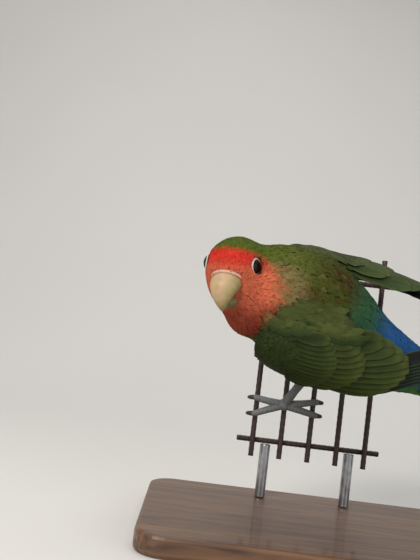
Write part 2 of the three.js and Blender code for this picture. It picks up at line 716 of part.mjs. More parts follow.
["left", "right"].forEach((side) => {
  const foot = feet[side];
  const pad = vec(...foot.pad);
  const ankle = vec(...foot.ankle);
  const hip = body.at(...foot.hip);
  const toes = [
    { name: "front_outer", wireX: foot.front, away: -1, rise: -4.8 },
    { name: "front_inner", wireX: foot.front, away: -1, rise: 1.4 },
    { name: "back_outer", wireX: foot.back, away: 1, rise: -2.8 },
    { name: "back_inner", wireX: foot.back, away: 1, rise: 2.4 },
  ];
  const footSolid = (grow) => {
    const parts = toes.map((toe) => toeSolid(pad, toe, grow));
    return fuse([sphereAt(pad, PAD_RADIUS + grow, 10, 8), ...parts]);
  };
  const footRoom = footSolid(GAP);
  addNode("foot_" + side, footSolid(0), materials.leg);
  toes.forEach((toe) => {
    const claw = clawSolid(pad, toe).subtract(footRoom);
    addNode("claw_" + side + "_" + toe.name, claw, materials.claw);
  });
  const shank = (grow) =>
    taperedTube([pad, pad.clone().lerp(ankle, 0.5), ankle], [1.9 + grow, 1.7 + grow, 2 + grow], 9, 4);
  addNode("shank_" + side, shank(0).subtract(footRoom), materials.leg);
  const thigh = taperedTube([hip, hip.clone().lerp(ankle, 0.55), ankle], [8.5, 6.6, 3], 12, 7);
  const shankRoom = shank(GAP).add(sphereAt(ankle, 2 + 1.5 * GAP, 8, 6));
  addNode("thigh_" + side, thigh.subtract(torsoRoom).subtract(shankRoom), materials.green);
});

// Perch: a short cut length of upright wires with two cross wires behind them
function rodBetween(from, to, radius, sides) {
  const axis = to.clone().sub(from);
  const rod = new THREE.CylinderGeometry(radius, radius, axis.length(), sides);
  rod.applyQuaternion(new THREE.Quaternion().setFromUnitVectors(vec(0, 1, 0), axis.clone().normalize()));
  const middle = from.clone().add(to).multiplyScalar(0.5);
  return solidOf(rod.translate(middle.x, middle.y, middle.z));
}

const wireRadius = WIRE_DIAMETER / 2;
for (let i = 0; i < WIRE_COUNT; i += 1) {
  const x = wireX(i);
  const wire = rodBetween(vec(x, 0, WIRE_BOTTOM_Z), vec(x, 0, WIRE_TOP_Z), wireRadius, 10);
  addNode("wire_" + (i + 1), wire, materials.wire);
}
const crossY = WIRE_DIAMETER + GAP;
const lastWireX = wireX(WIRE_COUNT - 1);
[["cross_wire_upper", UPPER_CROSS_Z], ["cross_wire_lower", LOWER_CROSS_Z]].forEach(([name, z]) => {
  const from = vec(FIRST_WIRE_X - CROSS_OVERHANG, crossY, z);
  const to = vec(lastWireX + CROSS_OVERHANG, crossY, z);
  addNode(name, rodBetween(from, to, wireRadius, 10), materials.wire);
});

// Stand: a flat base with rounded corners and two rods up to the lower cross wire
function roundedPlate(width, depth, corner, thickness) {
  const shape = new THREE.Shape();
  const x = width / 2 - corner;
  const y = depth / 2 - corner;
  shape.absarc(x, y, corner, 0, Math.PI / 2);
  shape.absarc(-x, y, corner, Math.PI / 2, Math.PI);
  shape.absarc(-x, -y, corner, Math.PI, 1.5 * Math.PI);
  shape.absarc(x, -y, corner, 1.5 * Math.PI, 2 * Math.PI);
  shape.closePath();
  const bevel = 1.2;
  const rounding = { bevelSize: bevel, bevelOffset: -bevel, bevelThickness: bevel, bevelSegments: 1 };
  return new THREE.ExtrudeGeometry(shape, { depth: thickness - bevel, curveSegments: 5, ...rounding });
}

const plate = roundedPlate(BASE_WIDTH, BASE_DEPTH, BASE_CORNER, BASE_THICKNESS);
const plateSolid = solidOf(plate.translate(BASE_X, BASE_Y, BASE_TOP_Z - BASE_THICKNESS));
const belowFloor = new THREE.BoxGeometry(400, 400, 20);
belowFloor.translate(BASE_X, BASE_Y, BASE_TOP_Z - BASE_THICKNESS - 10);
addNode("stand_base", plateSolid.subtract(solidOf(belowFloor)), materials.base);
const rodTop = LOWER_CROSS_Z - wireRadius - GAP;
[-0.5, 0.5].forEach((place, i) => {
  const x = wireX(2) + place * ROD_SPACING;
  const rod = rodBetween(vec(x, crossY, BASE_TOP_Z + GAP), vec(x, crossY, rodTop), ROD_DIAMETER / 2, 16);
  addNode("stand_rod_" + (i + 1), rod, materials.rod);
});

export default group;
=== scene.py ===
import math

import bpy
import numpy as np
from mathutils import Matrix, Vector
from mathutils.kdtree import KDTree


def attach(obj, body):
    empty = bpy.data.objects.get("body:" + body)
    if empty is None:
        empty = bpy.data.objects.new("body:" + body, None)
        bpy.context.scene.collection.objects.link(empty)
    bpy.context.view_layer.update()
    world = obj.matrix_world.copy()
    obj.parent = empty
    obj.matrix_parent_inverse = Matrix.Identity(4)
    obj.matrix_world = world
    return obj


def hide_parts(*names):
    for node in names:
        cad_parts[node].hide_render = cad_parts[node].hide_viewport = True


# A life-size lovebird clinging to a cut length of wires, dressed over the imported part.
# Lengths are the part's own millimetres, and toWorld turns them into the frame's metres.
print("scene: frame")
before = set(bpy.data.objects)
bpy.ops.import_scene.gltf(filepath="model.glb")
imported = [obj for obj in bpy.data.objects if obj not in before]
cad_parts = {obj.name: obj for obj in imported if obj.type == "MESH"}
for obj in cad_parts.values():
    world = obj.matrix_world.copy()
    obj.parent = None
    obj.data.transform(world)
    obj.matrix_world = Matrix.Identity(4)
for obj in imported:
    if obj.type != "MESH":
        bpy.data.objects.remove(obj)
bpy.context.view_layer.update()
rng = np.random.default_rng(7)
shift = np.array([-50.0, 24.0, 89.0])


def toWorld(points):
    return (np.asarray(points, float) + shift) / 1000


def unit(v):
    v = np.asarray(v, float)
    return v / np.maximum(np.linalg.norm(v, axis=-1, keepdims=True), 1e-9)


def step(x, a, b):
    t = np.clip((np.asarray(x, float) - a) / (b - a), 0, 1)
    return t * t * (3 - 2 * t)


def mix(a, b, t):
    return a + (b - a) * t


def shade(r, g, b):
    return (np.array([r, g, b]) / 255) ** 2.2


class Axes:
    def __init__(self, origin, forward, left):
        self.forward = unit(forward)
        self.up = unit(np.cross(self.forward, left))
        self.left = np.cross(self.up, self.forward)
        self.origin = np.asarray(origin, float)
        self.rows = np.stack([self.forward, self.left, self.up])

    def turn(self, x, y, z):
        return np.stack(np.broadcast_arrays(np.asarray(x, float), y, z), -1) @ self.rows

    def at(self, x, y, z):
        return self.origin + self.turn(x, y, z)

    def inside(self, p):
        return (p - self.origin) @ self.rows.T


headPose = {"at": (35.2, 8.1, 5.6), "yaw": 71, "pitch": -12}
body = Axes([41.4, -32, -11.3], [-0.927, 0, 0.375], [-0.24, -0.77, -0.593])
yaw, pitch = math.radians(headPose["yaw"]), math.radians(headPose["pitch"])
billAhead = [-math.cos(yaw) * math.cos(pitch), -math.sin(yaw) * math.cos(pitch), math.sin(pitch)]
head = Axes(body.at(*headPose["at"]), billAhead, [math.sin(yaw), -math.cos(yaw), 0])


# Body forms as fields, negative inside
def ellipsoid(axes, centre, radii):
    centre, radii = np.array(centre, float), np.array(radii, float)

    def field(p):
        q = (axes.inside(p) - centre) / radii
        outer = np.linalg.norm(q, axis=-1)
        return outer * (outer - 1) / np.maximum(np.linalg.norm(q / radii, axis=-1), 1e-9)

    return field


def capsule(a, b, ra, rb):
    a = np.asarray(a, float)
    d = np.asarray(b, float) - a

    def field(p):
        t = np.clip((p - a) @ d / (d @ d), 0, 1)
        return np.linalg.norm(p - a - t[..., None] * d, axis=-1) - (ra + (rb - ra) * t)

    return field


def blend(a, b, width):
    def field(p):
        x, y = a(p), b(p)
        h = np.maximum(width - abs(x - y), 0) / width
        return np.minimum(x, y) - h * h * width * 0.25

    return field


def carve(a, b, width):
    def field(p):
        x, y = a(p), -b(p)
        h = np.maximum(width - abs(x - y), 0) / width
        return np.maximum(x, y) + h * h * width * 0.25

    return field


legs = {
    "left": {"pad": [34.2, -3.4, -44.7], "ankle": [40.4, -11.2, -32.5], "hip": [2, 7.5, -10],
             "wires": (24, 46)},
    "right": {"pad": [46.4, -3.4, -24], "ankle": [56.2, -11.5, -28.1], "hip": [-2, -9, -9],
              "wires": (35, 57)},
}
thigh = {"hip": 8.3, "knee": 6.4, "ankle": 2.9, "kneeAt": 0.55}
eyes = {"radius": 3.3, "forward": 5.2, "side": 6.5, "up": 3.1, "rim": 2.55, "dishOut": 3.9,
        "dish": [3.2, 3.0, 3.0]}

breast = ellipsoid(body, [8, 0, 0], [26, 18.6, 20.5])
belly = ellipsoid(body, [-9, 1, -3], [24, 15, 15.5])
rumpForm = ellipsoid(body, [-32, 0, 0], [17, 8.5, 8])
flesh = blend(blend(breast, belly, 8), rumpForm, 8)
headForms = [
    capsule(body.at(12, 1.5, 3), body.at(20.8, 3.2, 5.2), 17, 13.8),
    ellipsoid(head, [-1, 0.5, 0.6], [11.8, 9.7, 11.4]),
    ellipsoid(head, [3.6, 0, 2.2], [7.6, 8.4, 7.6]),
    ellipsoid(head, [1.2, 0.8, -5.2], [8.2, 7.8, 7.4]),
    ellipsoid(head, [-2.6, 4, -12.6], [8, 7.4, 9]),
]
for form in headForms:
    flesh = blend(flesh, form, 5)
for leg in legs.values():
    hip, ankle = body.at(*leg["hip"]), np.array(leg["ankle"])
    knee = mix(hip, ankle, thigh["kneeAt"])
    upper = capsule(hip, knee, thigh["hip"], thigh["knee"])
    lower = capsule(knee, ankle, thigh["knee"], thigh["ankle"])
    flesh = blend(flesh, blend(upper, lower, 1), 2.5)
# The form without the dishes round the eyes carries the feathers
plain = flesh
eyeCentres = {}
eyeAxes = {}
for side, sign in (("left", 1), ("right", -1)):
    eyeCentres[side] = head.at(eyes["forward"], sign * eyes["side"], eyes["up"])
    eyeAxes[side] = unit(head.turn(0.22, sign * 0.95, 0.1))
    dishAxes = Axes(eyeCentres[side] + eyeAxes[side] * eyes["dishOut"], eyeAxes[side], head.up)
    flesh = carve(flesh, ellipsoid(dishAxes, [0, 0, 0], eyes["dish"]), 0.8)


# Distance from an eye's axis, far for points on the other side of the head
def eyeDistance(p, side):
    out = p - eyeCentres[side]
    return np.linalg.norm(np.cross(out, eyeAxes[side]), axis=1) + 99 * (out @ eyeAxes[side] < 0)


def slopeOf(field, p):
    reach = 0.05
    return np.stack([(field(p + s) - field(p - s)) / (2 * reach) for s in np.eye(3) * reach], -1)


# Walks points along the slope until the field has the wanted level there
def settle(field, p, level, rounds=3, reach=0.8):
    for _ in range(rounds):
        slope = slopeOf(field, p)
        size = np.maximum((slope ** 2).sum(-1), 0.05)
        move = np.clip((level - field(p)) / size, -reach, reach)
        p = p + slope * move[..., None]
    return p, unit(slope)


# A closed shell whose faces look inwards is turned round
def facingOut(verts, faces):
    corners = verts[np.asarray(faces)] - verts.mean(0)
    a, b, c, d = (corners[:, k] for k in range(4))
    volume = (np.cross(a, b) * c).sum() + (np.cross(a, c) * d).sum()
    return faces if volume > 0 else np.asarray(faces)[:, ::-1]


# Quads of a closed stack of rings, both ends capped
def shellFaces(rings, sides):
    grid = np.arange(rings * sides).reshape(rings, sides)
    turned = np.roll(grid, -1, 1)
    faces = [np.stack([grid[:-1], grid[1:], turned[1:], turned[:-1]], -1).reshape(-1, 4)]
    i = np.arange(sides // 2 - 1)
    for ring in (grid[0], grid[-1][::-1]):
        faces.append(np.stack([ring[i], ring[i + 1], ring[sides - 2 - i], ring[sides - 1 - i]], -1))
    return np.concatenate(faces)


# Mesh pieces straight from arrays
def meshPiece(name, verts, faces, material, tint=None, barb=None, uv=None, lean=None, soft=0.85):
    faces = np.asarray(faces, np.int64)
    mesh = bpy.data.meshes.new(name)
    mesh.vertices.add(len(verts))
    mesh.vertices.foreach_set("co", toWorld(verts).astype(np.float32).ravel())
    mesh.loops.add(faces.size)
    mesh.loops.foreach_set("vertex_index", faces.ravel().astype(np.int32))
    mesh.polygons.add(len(faces))
    mesh.polygons.foreach_set("loop_start", np.arange(0, faces.size, faces.shape[1], dtype=np.int32))
    mesh.update(calc_edges=True)
    mesh.polygons.foreach_set("use_smooth", np.full(len(faces), True))
    if tint is not None:
        colour = np.ones((len(verts), 4), np.float32)
        colour[:, :3] = np.clip(tint, 0, 1)
        mesh.attributes.new("tint", "FLOAT_COLOR", "POINT").data.foreach_set("color", colour.ravel())
    if barb is not None:
        mesh.attributes.new("barb", "FLOAT", "POINT").data.foreach_set("value", np.asarray(barb, np.float32))
    if uv is not None:
        layer = mesh.uv_layers.new(name="OFBake")
        layer.data.foreach_set("uv", np.asarray(uv, np.float32)[faces.ravel()].ravel())
    if lean is not None:
        # Feathers take most of their shading direction from the form beneath, so they melt together
        flat = np.empty(len(verts) * 3, np.float32)
        mesh.vertex_normals.foreach_get("vector", flat)
        mesh.normals_split_custom_set_from_vertices(unit(mix(flat.reshape(-1, 3), lean, soft)))
    obj = bpy.data.objects.new(name, mesh)
    bpy.context.scene.collection.objects.link(obj)
    obj.data.materials.append(material)
    return obj


def own(obj, slot, *nodes):
    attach(obj, "root")
    if nodes:
        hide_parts(*nodes)
    return obj


# Node helpers
def newMaterial(name):
    material = bpy.data.materials.new(name)
    material.use_nodes = True
    tree = material.node_tree
    return material, tree, tree.nodes["Principled BSDF"]


def addNode(tree, kind, **inputs):
    node = tree.nodes.new(kind)
    for key, value in inputs.items():
        if hasattr(node, key):
            setattr(node, key, value)
        else:
            node.inputs[key.replace("_", " ")].default_value = value
    return node


# The colour times 1 - spread to 1 + spread, as the factor goes from low to high
def scaleTone(tree, colour, factor, spread, low, high):
    span = addNode(tree, "ShaderNodeMapRange", From_Min=low, From_Max=high, To_Min=1 - spread,
                   To_Max=1 + spread)
    scaled = addNode(tree, "ShaderNodeVectorMath", operation="SCALE")
    tree.links.new(factor, span.inputs["Value"])
    tree.links.new(colour, scaled.inputs[0])
    tree.links.new(span.outputs["Result"], scaled.inputs["Scale"])
    return scaled.outputs["Vector"]


def addBump(tree, shader, height, strength, distance):
    bump = addNode(tree, "ShaderNodeBump", Strength=strength, Distance=distance)
    tree.links.new(height, bump.inputs["Height"])
    tree.links.new(bump.outputs["Normal"], shader.inputs["Normal"])


def addNoise(tree, place, **values):
    noise = addNode(tree, "ShaderNodeTexNoise", **values)
    tree.links.new(place, noise.inputs["Vector"])
    return noise.outputs["Fac"]


def tintedMaterial(name, values):
    material, tree, shader = newMaterial(name)
    tint = addNode(tree, "ShaderNodeAttribute", attribute_name="tint")
    place = addNode(tree, "ShaderNodeTexCoord")
    height = addNoise(tree, place.outputs["Object"], Scale=values["noiseScale"], Detail=4.0)
    colour = scaleTone(tree, tint.outputs["Color"], height, values["mottle"], 0.3, 0.7)
    if "barbs" in values:
        barb = addNode(tree, "ShaderNodeAttribute", attribute_name="barb")
        turn = addNode(tree, "ShaderNodeMath", operation="MULTIPLY")
        turn.inputs[1].default_value = values["barbs"]
        tree.links.new(barb.outputs["Fac"], turn.inputs[0])
        wave = addNode(tree, "ShaderNodeMath", operation="SINE")
        tree.links.new(turn.outputs[0], wave.inputs[0])
        height = wave.outputs[0]
        colour = scaleTone(tree, colour, height, values["barbTone"], -1, 1)
    tree.links.new(colour, shader.inputs["Base Color"])
    addBump(tree, shader, height, values["bump"], values["bumpDepth"])
    shader.inputs["Roughness"].default_value = values["roughness"]
    shader.inputs["Coat Weight"].default_value = values.get("coat", 0)
    shader.inputs["Coat Roughness"].default_value = 0.04
    shader.inputs["Specular IOR Level"].default_value = values.get("specular", 0.4)
    shader.inputs["Subsurface Weight"].default_value = values.get("subsurface", 0)
    shader.inputs["Subsurface Scale"].default_value = 0.002
    return material


# Noise through a ramp of two tones, for wire, steel, wood and backdrop
def rampMaterial(name, dark, pale, values):
    material, tree, shader = newMaterial(name)
    place = addNode(tree, "ShaderNodeTexCoord").outputs["Object"]
    if "stretch" in values:
        mapping = addNode(tree, "ShaderNodeMapping", Scale=values["stretch"])
        tree.links.new(place, mapping.inputs["Vector"])
        place = mapping.outputs["Vector"]
    height = addNoise(tree, place, **values["noise"])
    ramp = addNode(tree, "ShaderNodeValToRGB")
    for i, (stop, tone) in enumerate(zip(values.get("stops", (0, 1)), (dark, pale))):
        ramp.color_ramp.elements[i].position = stop
        ramp.color_ramp.elements[i].color = (*tone, 1)
    tree.links.new(height, ramp.inputs["Fac"])
    tree.links.new(ramp.outputs["Color"], shader.inputs["Base Color"])
    if "bump" in values:
        addBump(tree, shader, height, values["bump"], values["bumpDepth"])
    shader.inputs["Roughness"].default_value = values["roughness"]
    shader.inputs["Metallic"].default_value = values.get("metallic", 0)
    shader.inputs["Coat Weight"].default_value = values.get("coat", 0)
    return material


downFinish = {"noiseScale": 700, "mottle": 0.16, "roughness": 0.95, "bump": 0.25, "bumpDepth": 0.0002,
              "barbs": 15.0, "barbTone": 0.04, "specular": 0.06}
vaneFinish = {"noiseScale": 350, "mottle": 0.12, "roughness": 0.65, "bump": 0.3, "bumpDepth": 0.0002,
              "barbs": 12.0, "barbTone": 0.045, "specular": 0.14}
skinFinish = {"noiseScale": 900, "mottle": 0.15, "roughness": 0.8, "bump": 0.2, "bumpDepth": 0.0002,
              "specular": 0.2}
hornFinish = {"noiseScale": 420, "mottle": 0.09, "roughness": 0.5, "bump": 0.16, "bumpDepth": 0.0002,
              "subsurface": 0.12}
scaleFinish = {"noiseScale": 1200, "mottle": 0.16, "roughness": 0.6, "bump": 0.35, "bumpDepth": 0.0003}
eyeFinish = {"noiseScale": 900, "mottle": 0.05, "roughness": 0.45, "bump": 0.0, "bumpDepth": 0.0001,
             "coat": 0.12, "specular": 0.08}
materials = {
    "down": tintedMaterial("contourFeathers", downFinish),
    "vane": tintedMaterial("vanes", vaneFinish),
    "skin": tintedMaterial("skinUnderCoat", skinFinish),
    "horn": tintedMaterial("billHorn", hornFinish),
    "claw": tintedMaterial("clawHorn", dict(hornFinish, subsurface=0, roughness=0.3)),
    "cere": tintedMaterial("cereSkin", dict(skinFinish, roughness=0.6, subsurface=0.15)),
    "leg": tintedMaterial("legScales", scaleFinish),
    "eye": tintedMaterial("eyeGloss", eyeFinish),
}

# Plumage tones and where they lie, the same for skin and feathers
tones = {
    "forehead": shade(178, 50, 41),
    "cheek": shade(182, 92, 68),
    "throat": shade(138, 66, 50),
    "rim": shade(112, 98, 66),
    "crown": shade(72, 84, 34),
    "nape": shade(76, 82, 38),
    "mantle": shade(60, 65, 29),
    "back": shade(54, 62, 27),
    "moult": shade(58, 42, 28),
    "belly": shade(76, 92, 40),
    "rumpFront": shade(46, 74, 52),
    "rump": shade(38, 72, 114),
    "ventral": shade(70, 104, 62),
    "bare": shade(206, 192, 178),
}
# Centre on the body and size of each brown patch of growing feathers
moultSpots = (((8, 16.6, 12), 4.5), ((4.6, 2, 20.8), 5.0), ((-0.5, 1, 19.8), 4.5), ((12, 14, 15.5), 3.0))


# The tone at points of the body, and how far they lie in the red mask
def plumage(p):
    q = head.inside(p)
    b = body.inside(p)
    azimuth = np.degrees(np.arctan2(abs(q[:, 1]), q[:, 0] + 4))
    wobble = 2.5 * np.sin(q[:, 2] * 1.3 + q[:, 1]) + 1.5 * np.sin(q[:, 2] * 2.9 - q[:, 0] * 1.7)
    # The mask's border, in degrees round the head, narrows towards the crown
    border = 60 * np.sqrt(np.clip((8.6 - q[:, 2]) / 4.5, 0, 1)) - 12 * np.maximum(q[:, 2] - 7.8, 0)
    edge = border - azimuth + wobble
    low = step(q[:, 2], -21.5, -19.5)
    near = step(-np.linalg.norm(q - np.array([0, 3, -6]), axis=1), -24, -21)
    sharp = mix(8, 2.2, step(q[:, 2], 2, 6))
    mask = step(edge / sharp, -1, 1) * low * near
    rim = np.exp(-((edge + 8) / 12) ** 2) * low * near * step(-q[:, 2], -6.5, -2)

    colour = tones["crown"] + (tones["nape"] - tones["crown"]) * step(-b[:, 0], -30, -22)[:, None]
    colour = mix(colour, tones["mantle"], step(-b[:, 0], -22, -10)[:, None])
    colour = mix(colour, tones["back"], step(-b[:, 0], 0, 12)[:, None])
    under = step(-b[:, 2], 0, 8) * step(-abs(b[:, 1]), -20, -13)
    colour = mix(colour, tones["belly"], under[:, None])
    for centre, size in moultSpots:
        spot = np.exp(-((b - np.array(centre)) ** 2).sum(1) / size ** 2)
        colour = mix(colour, tones["moult"], (0.6 * spot)[:, None])
    rumpward = step(-b[:, 0] + 0.25 * b[:, 2], 4, 10) * step(b[:, 2], -3, 3)
    blueTone = mix(tones["rumpFront"], tones["rump"], step(-b[:, 0], 10, 19)[:, None])
    colour = mix(colour, blueTone, rumpward[:, None])
    vent = step(-b[:, 0], 22, 30) * step(-b[:, 2], -2, 3)
    colour = mix(colour, tones["ventral"], vent[:, None])
    colour = mix(colour, tones["rim"], (0.75 * rim)[:, None])

    face = mix(tones["throat"], tones["cheek"], step(q[:, 2], -15, -6)[:, None])
    face = mix(face, tones["forehead"], step(q[:, 2], 0.6, 5.4)[:, None])
    return mix(colour, face, mask[:, None]), mask


# One skin under the whole coat
print("scene: skin")
skinShape = {"cell": 0.95, "faceDepth": 0.55, "bodyDepth": 1.1, "low": (-14, -68, -52), "high": (92, 16, 26)}
billBase = head.at(10, 0, -3)


# How deep the skin lies under the coat's outside
def coatDepth(p):
    far = np.linalg.norm(p - billBase, axis=1)
    return mix(skinShape["faceDepth"], skinShape["bodyDepth"], step(far, 14, 26))


# Quads round the zero level of a field, one vertex in each mixed cell of a grid
def surfaceNet(field, low, high, cell):
    spans = [np.arange(low[i], high[i] + cell, cell) for i in range(3)]
    shape = tuple(len(s) for s in spans)
    values = np.empty(shape)
    for i, x in enumerate(spans[0]):
        slab = np.stack(np.meshgrid([x], spans[1], spans[2], indexing="ij"), -1).reshape(-1, 3)
        values[i] = field(slab).reshape(shape[1:])
    full = values < 0
    corner = [full[a:shape[0] - 1 + a, b:shape[1] - 1 + b, c:shape[2] - 1 + c]
              for a in (0, 1) for b in (0, 1) for c in (0, 1)]
    total = sum(c.astype(int) for c in corner)
    mixed = (total > 0) & (total < 8)
    ids = np.full(mixed.shape, -1)
    ids[mixed] = np.arange(mixed.sum())
    verts = (np.argwhere(mixed) + 0.5) * cell + np.array(low)
    faces = []
    for axis in range(3):
        u, v = (axis + 1) % 3, (axis + 2) % 3
        crossing = (full != np.roll(full, -1, axis))[1:-1, 1:-1, 1:-1]
        where = np.argwhere(crossing) + 1
        outward = full[where[:, 0], where[:, 1], where[:, 2]]
        du, dv = np.eye(3, dtype=int)[u], np.eye(3, dtype=int)[v]
        ring = [where - du - dv, where - dv, where, where - du]
        quad = np.stack([ids[r[:, 0], r[:, 1], r[:, 2]] for r in ring], 1)
        quad[~outward] = quad[~outward][:, ::-1]
        faces.append(quad)
    return verts, np.concatenate(faces)


skinVerts, skinFaces = surfaceNet(lambda p: flesh(p) + coatDepth(p), skinShape["low"], skinShape["high"],
                                  skinShape["cell"])
skinVerts = settle(flesh, skinVerts, -coatDepth(skinVerts), rounds=4)[0]
skinTint = plumage(skinVerts)[0]
eyeGap = np.minimum(eyeDistance(skinVerts, "left"), eyeDistance(skinVerts, "right"))
# Both the plumage tones and the bare tone round the eyes are darkened to 0.8 here: painted shade under the
# coat and in the dishes round the eyes
skinTint = mix(skinTint * 0.8, tones["bare"] * 0.8, step(-eyeGap, -3.0, -2.7)[:, None])
skinFaces = facingOut(skinVerts, skinFaces)
skin = meshPiece("skin", skinVerts, skinFaces, materials["skin"], tint=skinTint)
bpy.context.view_layer.objects.active = skin
skin.select_set(True)
bpy.ops.object.mode_set(mode="EDIT")
bpy.ops.mesh.select_all(action="SELECT")
bpy.ops.uv.smart_project(angle_limit=math.radians(66), island_margin=0.01)
bpy.ops.object.mode_set(mode="OBJECT")
skin.data.uv_layers[0].name = "OFBake"
skin.select_set(False)
skinUv = np.empty(len(skin.data.loops) * 2)
skin.data.uv_layers["OFBake"].data.foreach_get("uv", skinUv)
skinUv = skinUv.reshape(-1, 4, 2)
own(skin, "body_feathers", "head", "neck", "torso", "rump", "thigh_left", "thigh_right")


# Curves and sheets that carry the wings and the tail
def smoothCurve(points, count):
    points = np.asarray(points, float)
    extended = np.vstack([2 * points[0] - points[1], points, 2 * points[-1] - points[-2]])
    result = []
    for t in np.linspace(0, len(points) - 1, count):
        i = min(int(t), len(points) - 2)
        w = t - i
        a, b, c, d = extended[i:i + 4]
        da, db, dc = (max(np.linalg.norm(y - x) ** 0.5, 1e-4) for x, y in ((a, b), (b, c), (c, d)))
        m0 = ((b - a) / da - (c - a) / (da + db) + (c - b) / db) * db
        m1 = ((c - b) / db - (d - b) / (db + dc) + (d - c) / dc) * db
        square = -3 * b + 3 * c - 2 * m0 - m1
        cube = 2 * b - 2 * c + m0 + m1
        result.append(b + m0 * w + square * w ** 2 + cube * w ** 3)
    return np.array(result)


# A bent sheet along a curve: s runs down it, y across it and h stands off it
def sheetAlong(points, normals, bends, length):
    count = 401
    spine = smoothCurve(points, count)
    tangents = unit(np.gradient(spine, axis=0))
    ts = np.linspace(0, 1, count)

    def pick(values, t):
        place = np.clip(t, 0, 1) * (len(values) - 1)
        slot = np.minimum(place.astype(int), len(values) - 2)
        values = np.array(values, float)
        return mix(values[slot], values[slot + 1], step(place - slot, 0, 1))

    def sheet(s, y, h):
        s, y, h = np.broadcast_arrays(np.asarray(s, float), np.asarray(y, float), np.asarray(h, float))
        t = np.clip(s / length, 0, 1)
        centre = np.stack([np.interp(t, ts, spine[:, k]) for k in range(3)], -1)
        along = unit(np.stack([np.interp(t, ts, tangents[:, k]) for k in range(3)], -1))
        centre = centre + along * (s - t * length)[..., None]
        angle = np.radians(pick(normals, t))
        normal = np.stack([np.zeros_like(angle), np.cos(angle), np.sin(angle)], -1)
        normal = unit(normal - along * (normal * along).sum(-1, keepdims=True))
        across = unit(np.cross(normal, along))
        bend = pick(bends, t)
        turn = y * bend
        rise = h - (1 - np.cos(turn)) / bend
        q = centre + across * (np.sin(turn) / bend)[..., None] + normal * rise[..., None]
        return body.at(q[..., 0], q[..., 1], q[..., 2])

    return sheet


wingLength = 104
leftSheet = sheetAlong(
    [[19, 18.8, -4.5], [-5, 18.4, 2.2], [-29, 9.8, 7.6], [-54, 1, 11.3], [-77, -7, 12.8]],
    [-9, 8, 38, 58, 66], [0.045, 0.045, 0.035, 0.02, 0.01], wingLength)
rightSheet = sheetAlong(
    [[19, -18.6, -1], [-6, -18.6, 11], [-30, -23.4, 13.2], [-55, -29.3, 18.4], [-79, -35, 24.2]],
    [176, 116, 119, 126, 131], [0.045, 0.042, 0.035, 0.02, 0.01], wingLength)


# Height of the arm's rounded upper face at a place on the sheet
def covertMound(s, y, shape):
    a = (s - (shape["fromS"] + shape["toS"]) / 2) / ((shape["toS"] - shape["fromS"]) / 2)
    b = (y - (shape["fromY"] + shape["toY"]) / 2) / ((shape["toY"] - shape["fromY"]) / 2)
    swell = np.sqrt(np.clip(1 - a * a - b * b, 0, 1))
    rim = mix(shape["low"], shape["high"], 0.35)
    return mix(rim, shape["high"], swell)


arm = {"fromS": 0.4, "toS": 24.6, "fromY": -12.6, "toY": 11.6, "low": 4.2, "high": 7.2}
mound = dict(arm, high=7.6)


# The upper face of a folded or raised wing, to find the roots that it hides
class WingTop:
    def __init__(self, baseSheet, flip):
        s, y = np.meshgrid(np.linspace(0.5, 44, 88), np.linspace(-12, 12, 49), indexing="ij")
        swell = covertMound(s, y, mound)
        level = mix(swell + 0.35, 6.4 - 0.02 * np.maximum(s - 24, 0), step(s, 18, 26))
        inside = (s < 13) & (((s - 12.5) / 12.1) ** 2 + ((y + 0.5) / 12.1) ** 2 > 1)
        upper = baseSheet(s, y * flip, level)
        lower = baseSheet(s, y * flip, level - 1)
        self.points, self.normals = upper[~inside], unit(upper - lower)[~inside]
        self.places = np.stack([s, y], -1)[~inside]
        self.tree = KDTree(len(self.points))
        for i, q in enumerate(self.points):
            self.tree.insert(q, i)
        self.tree.balance()

    def nearest(self, p):
        return np.array([self.tree.find(q)[1] for q in p], int).reshape(-1)

    def over(self, p):
        i = self.nearest(p)
        out = p - self.points[i]
        height = (out * self.normals[i]).sum(1)
        gap = np.linalg.norm(out - self.normals[i] * height[:, None], axis=1)
        return height, gap, self.places[i]


wingTops = [WingTop(leftSheet, 1), WingTop(rightSheet, -1)]


# Contour feathers: small curved vanes rooted in the skin, lying back from the bill along the body
print("scene: contour feathers")
coat = {"lift": 0.12, "lean": 10, "across": 5, "along": 6, "tuck": 0.3, "ragged": 0.13, "patch": 0.0014}
wisps = {"long": 0.8, "wide": 0.07, "share": 0.55, "rumpShare": 0.3, "turn": 16, "lift": 0.05}
# Sizes at these distances from the bill
reachSteps = [0, 5, 10, 16, 24, 36, 60]
sizesByReach = {
    "length": [1.2, 1.6, 2.0, 2.5, 3.4, 4.8, 6.2],
    "halfWidth": [0.24, 0.28, 0.34, 0.44, 0.62, 0.92, 1.3],
    "gap": [0.33, 0.37, 0.43, 0.53, 0.7, 1.0, 1.35],
}


def featherSize(p, kind):
    far = np.linalg.norm(p - billBase, axis=1)
    size = np.interp(far, reachSteps, sizesByReach[kind])
    for leg in legs.values():
        out = np.linalg.norm(p - np.array(leg["ankle"]), axis=1)
        size = size * mix(0.35, 1.0, step(out, 2, 18))
    return size


# The way a feather points: away from the bill on the head, then back, and down the legs
def featherLie(p, normal):
    away = unit(p - billBase)
    far = np.linalg.norm(p - billBase, axis=1)
    back = np.broadcast_to(-body.forward, p.shape)
    b = body.inside(p)
    droop = step(-b[:, 2], 0, 12)[:, None] * body.turn(0, 0, -0.25)
    lie = mix(away, back + droop, step(far, 13, 30)[:, None])
    for leg in legs.values():
        hip, ankle = body.at(*leg["hip"]), np.array(leg["ankle"])
        low = step(-np.linalg.norm(p - ankle, axis=1), -17, -9)
        lie = mix(lie, np.broadcast_to(unit(ankle - hip), p.shape), low[:, None])
    lie = lie - normal * (lie * normal).sum(1, keepdims=True)
    return unit(lie)


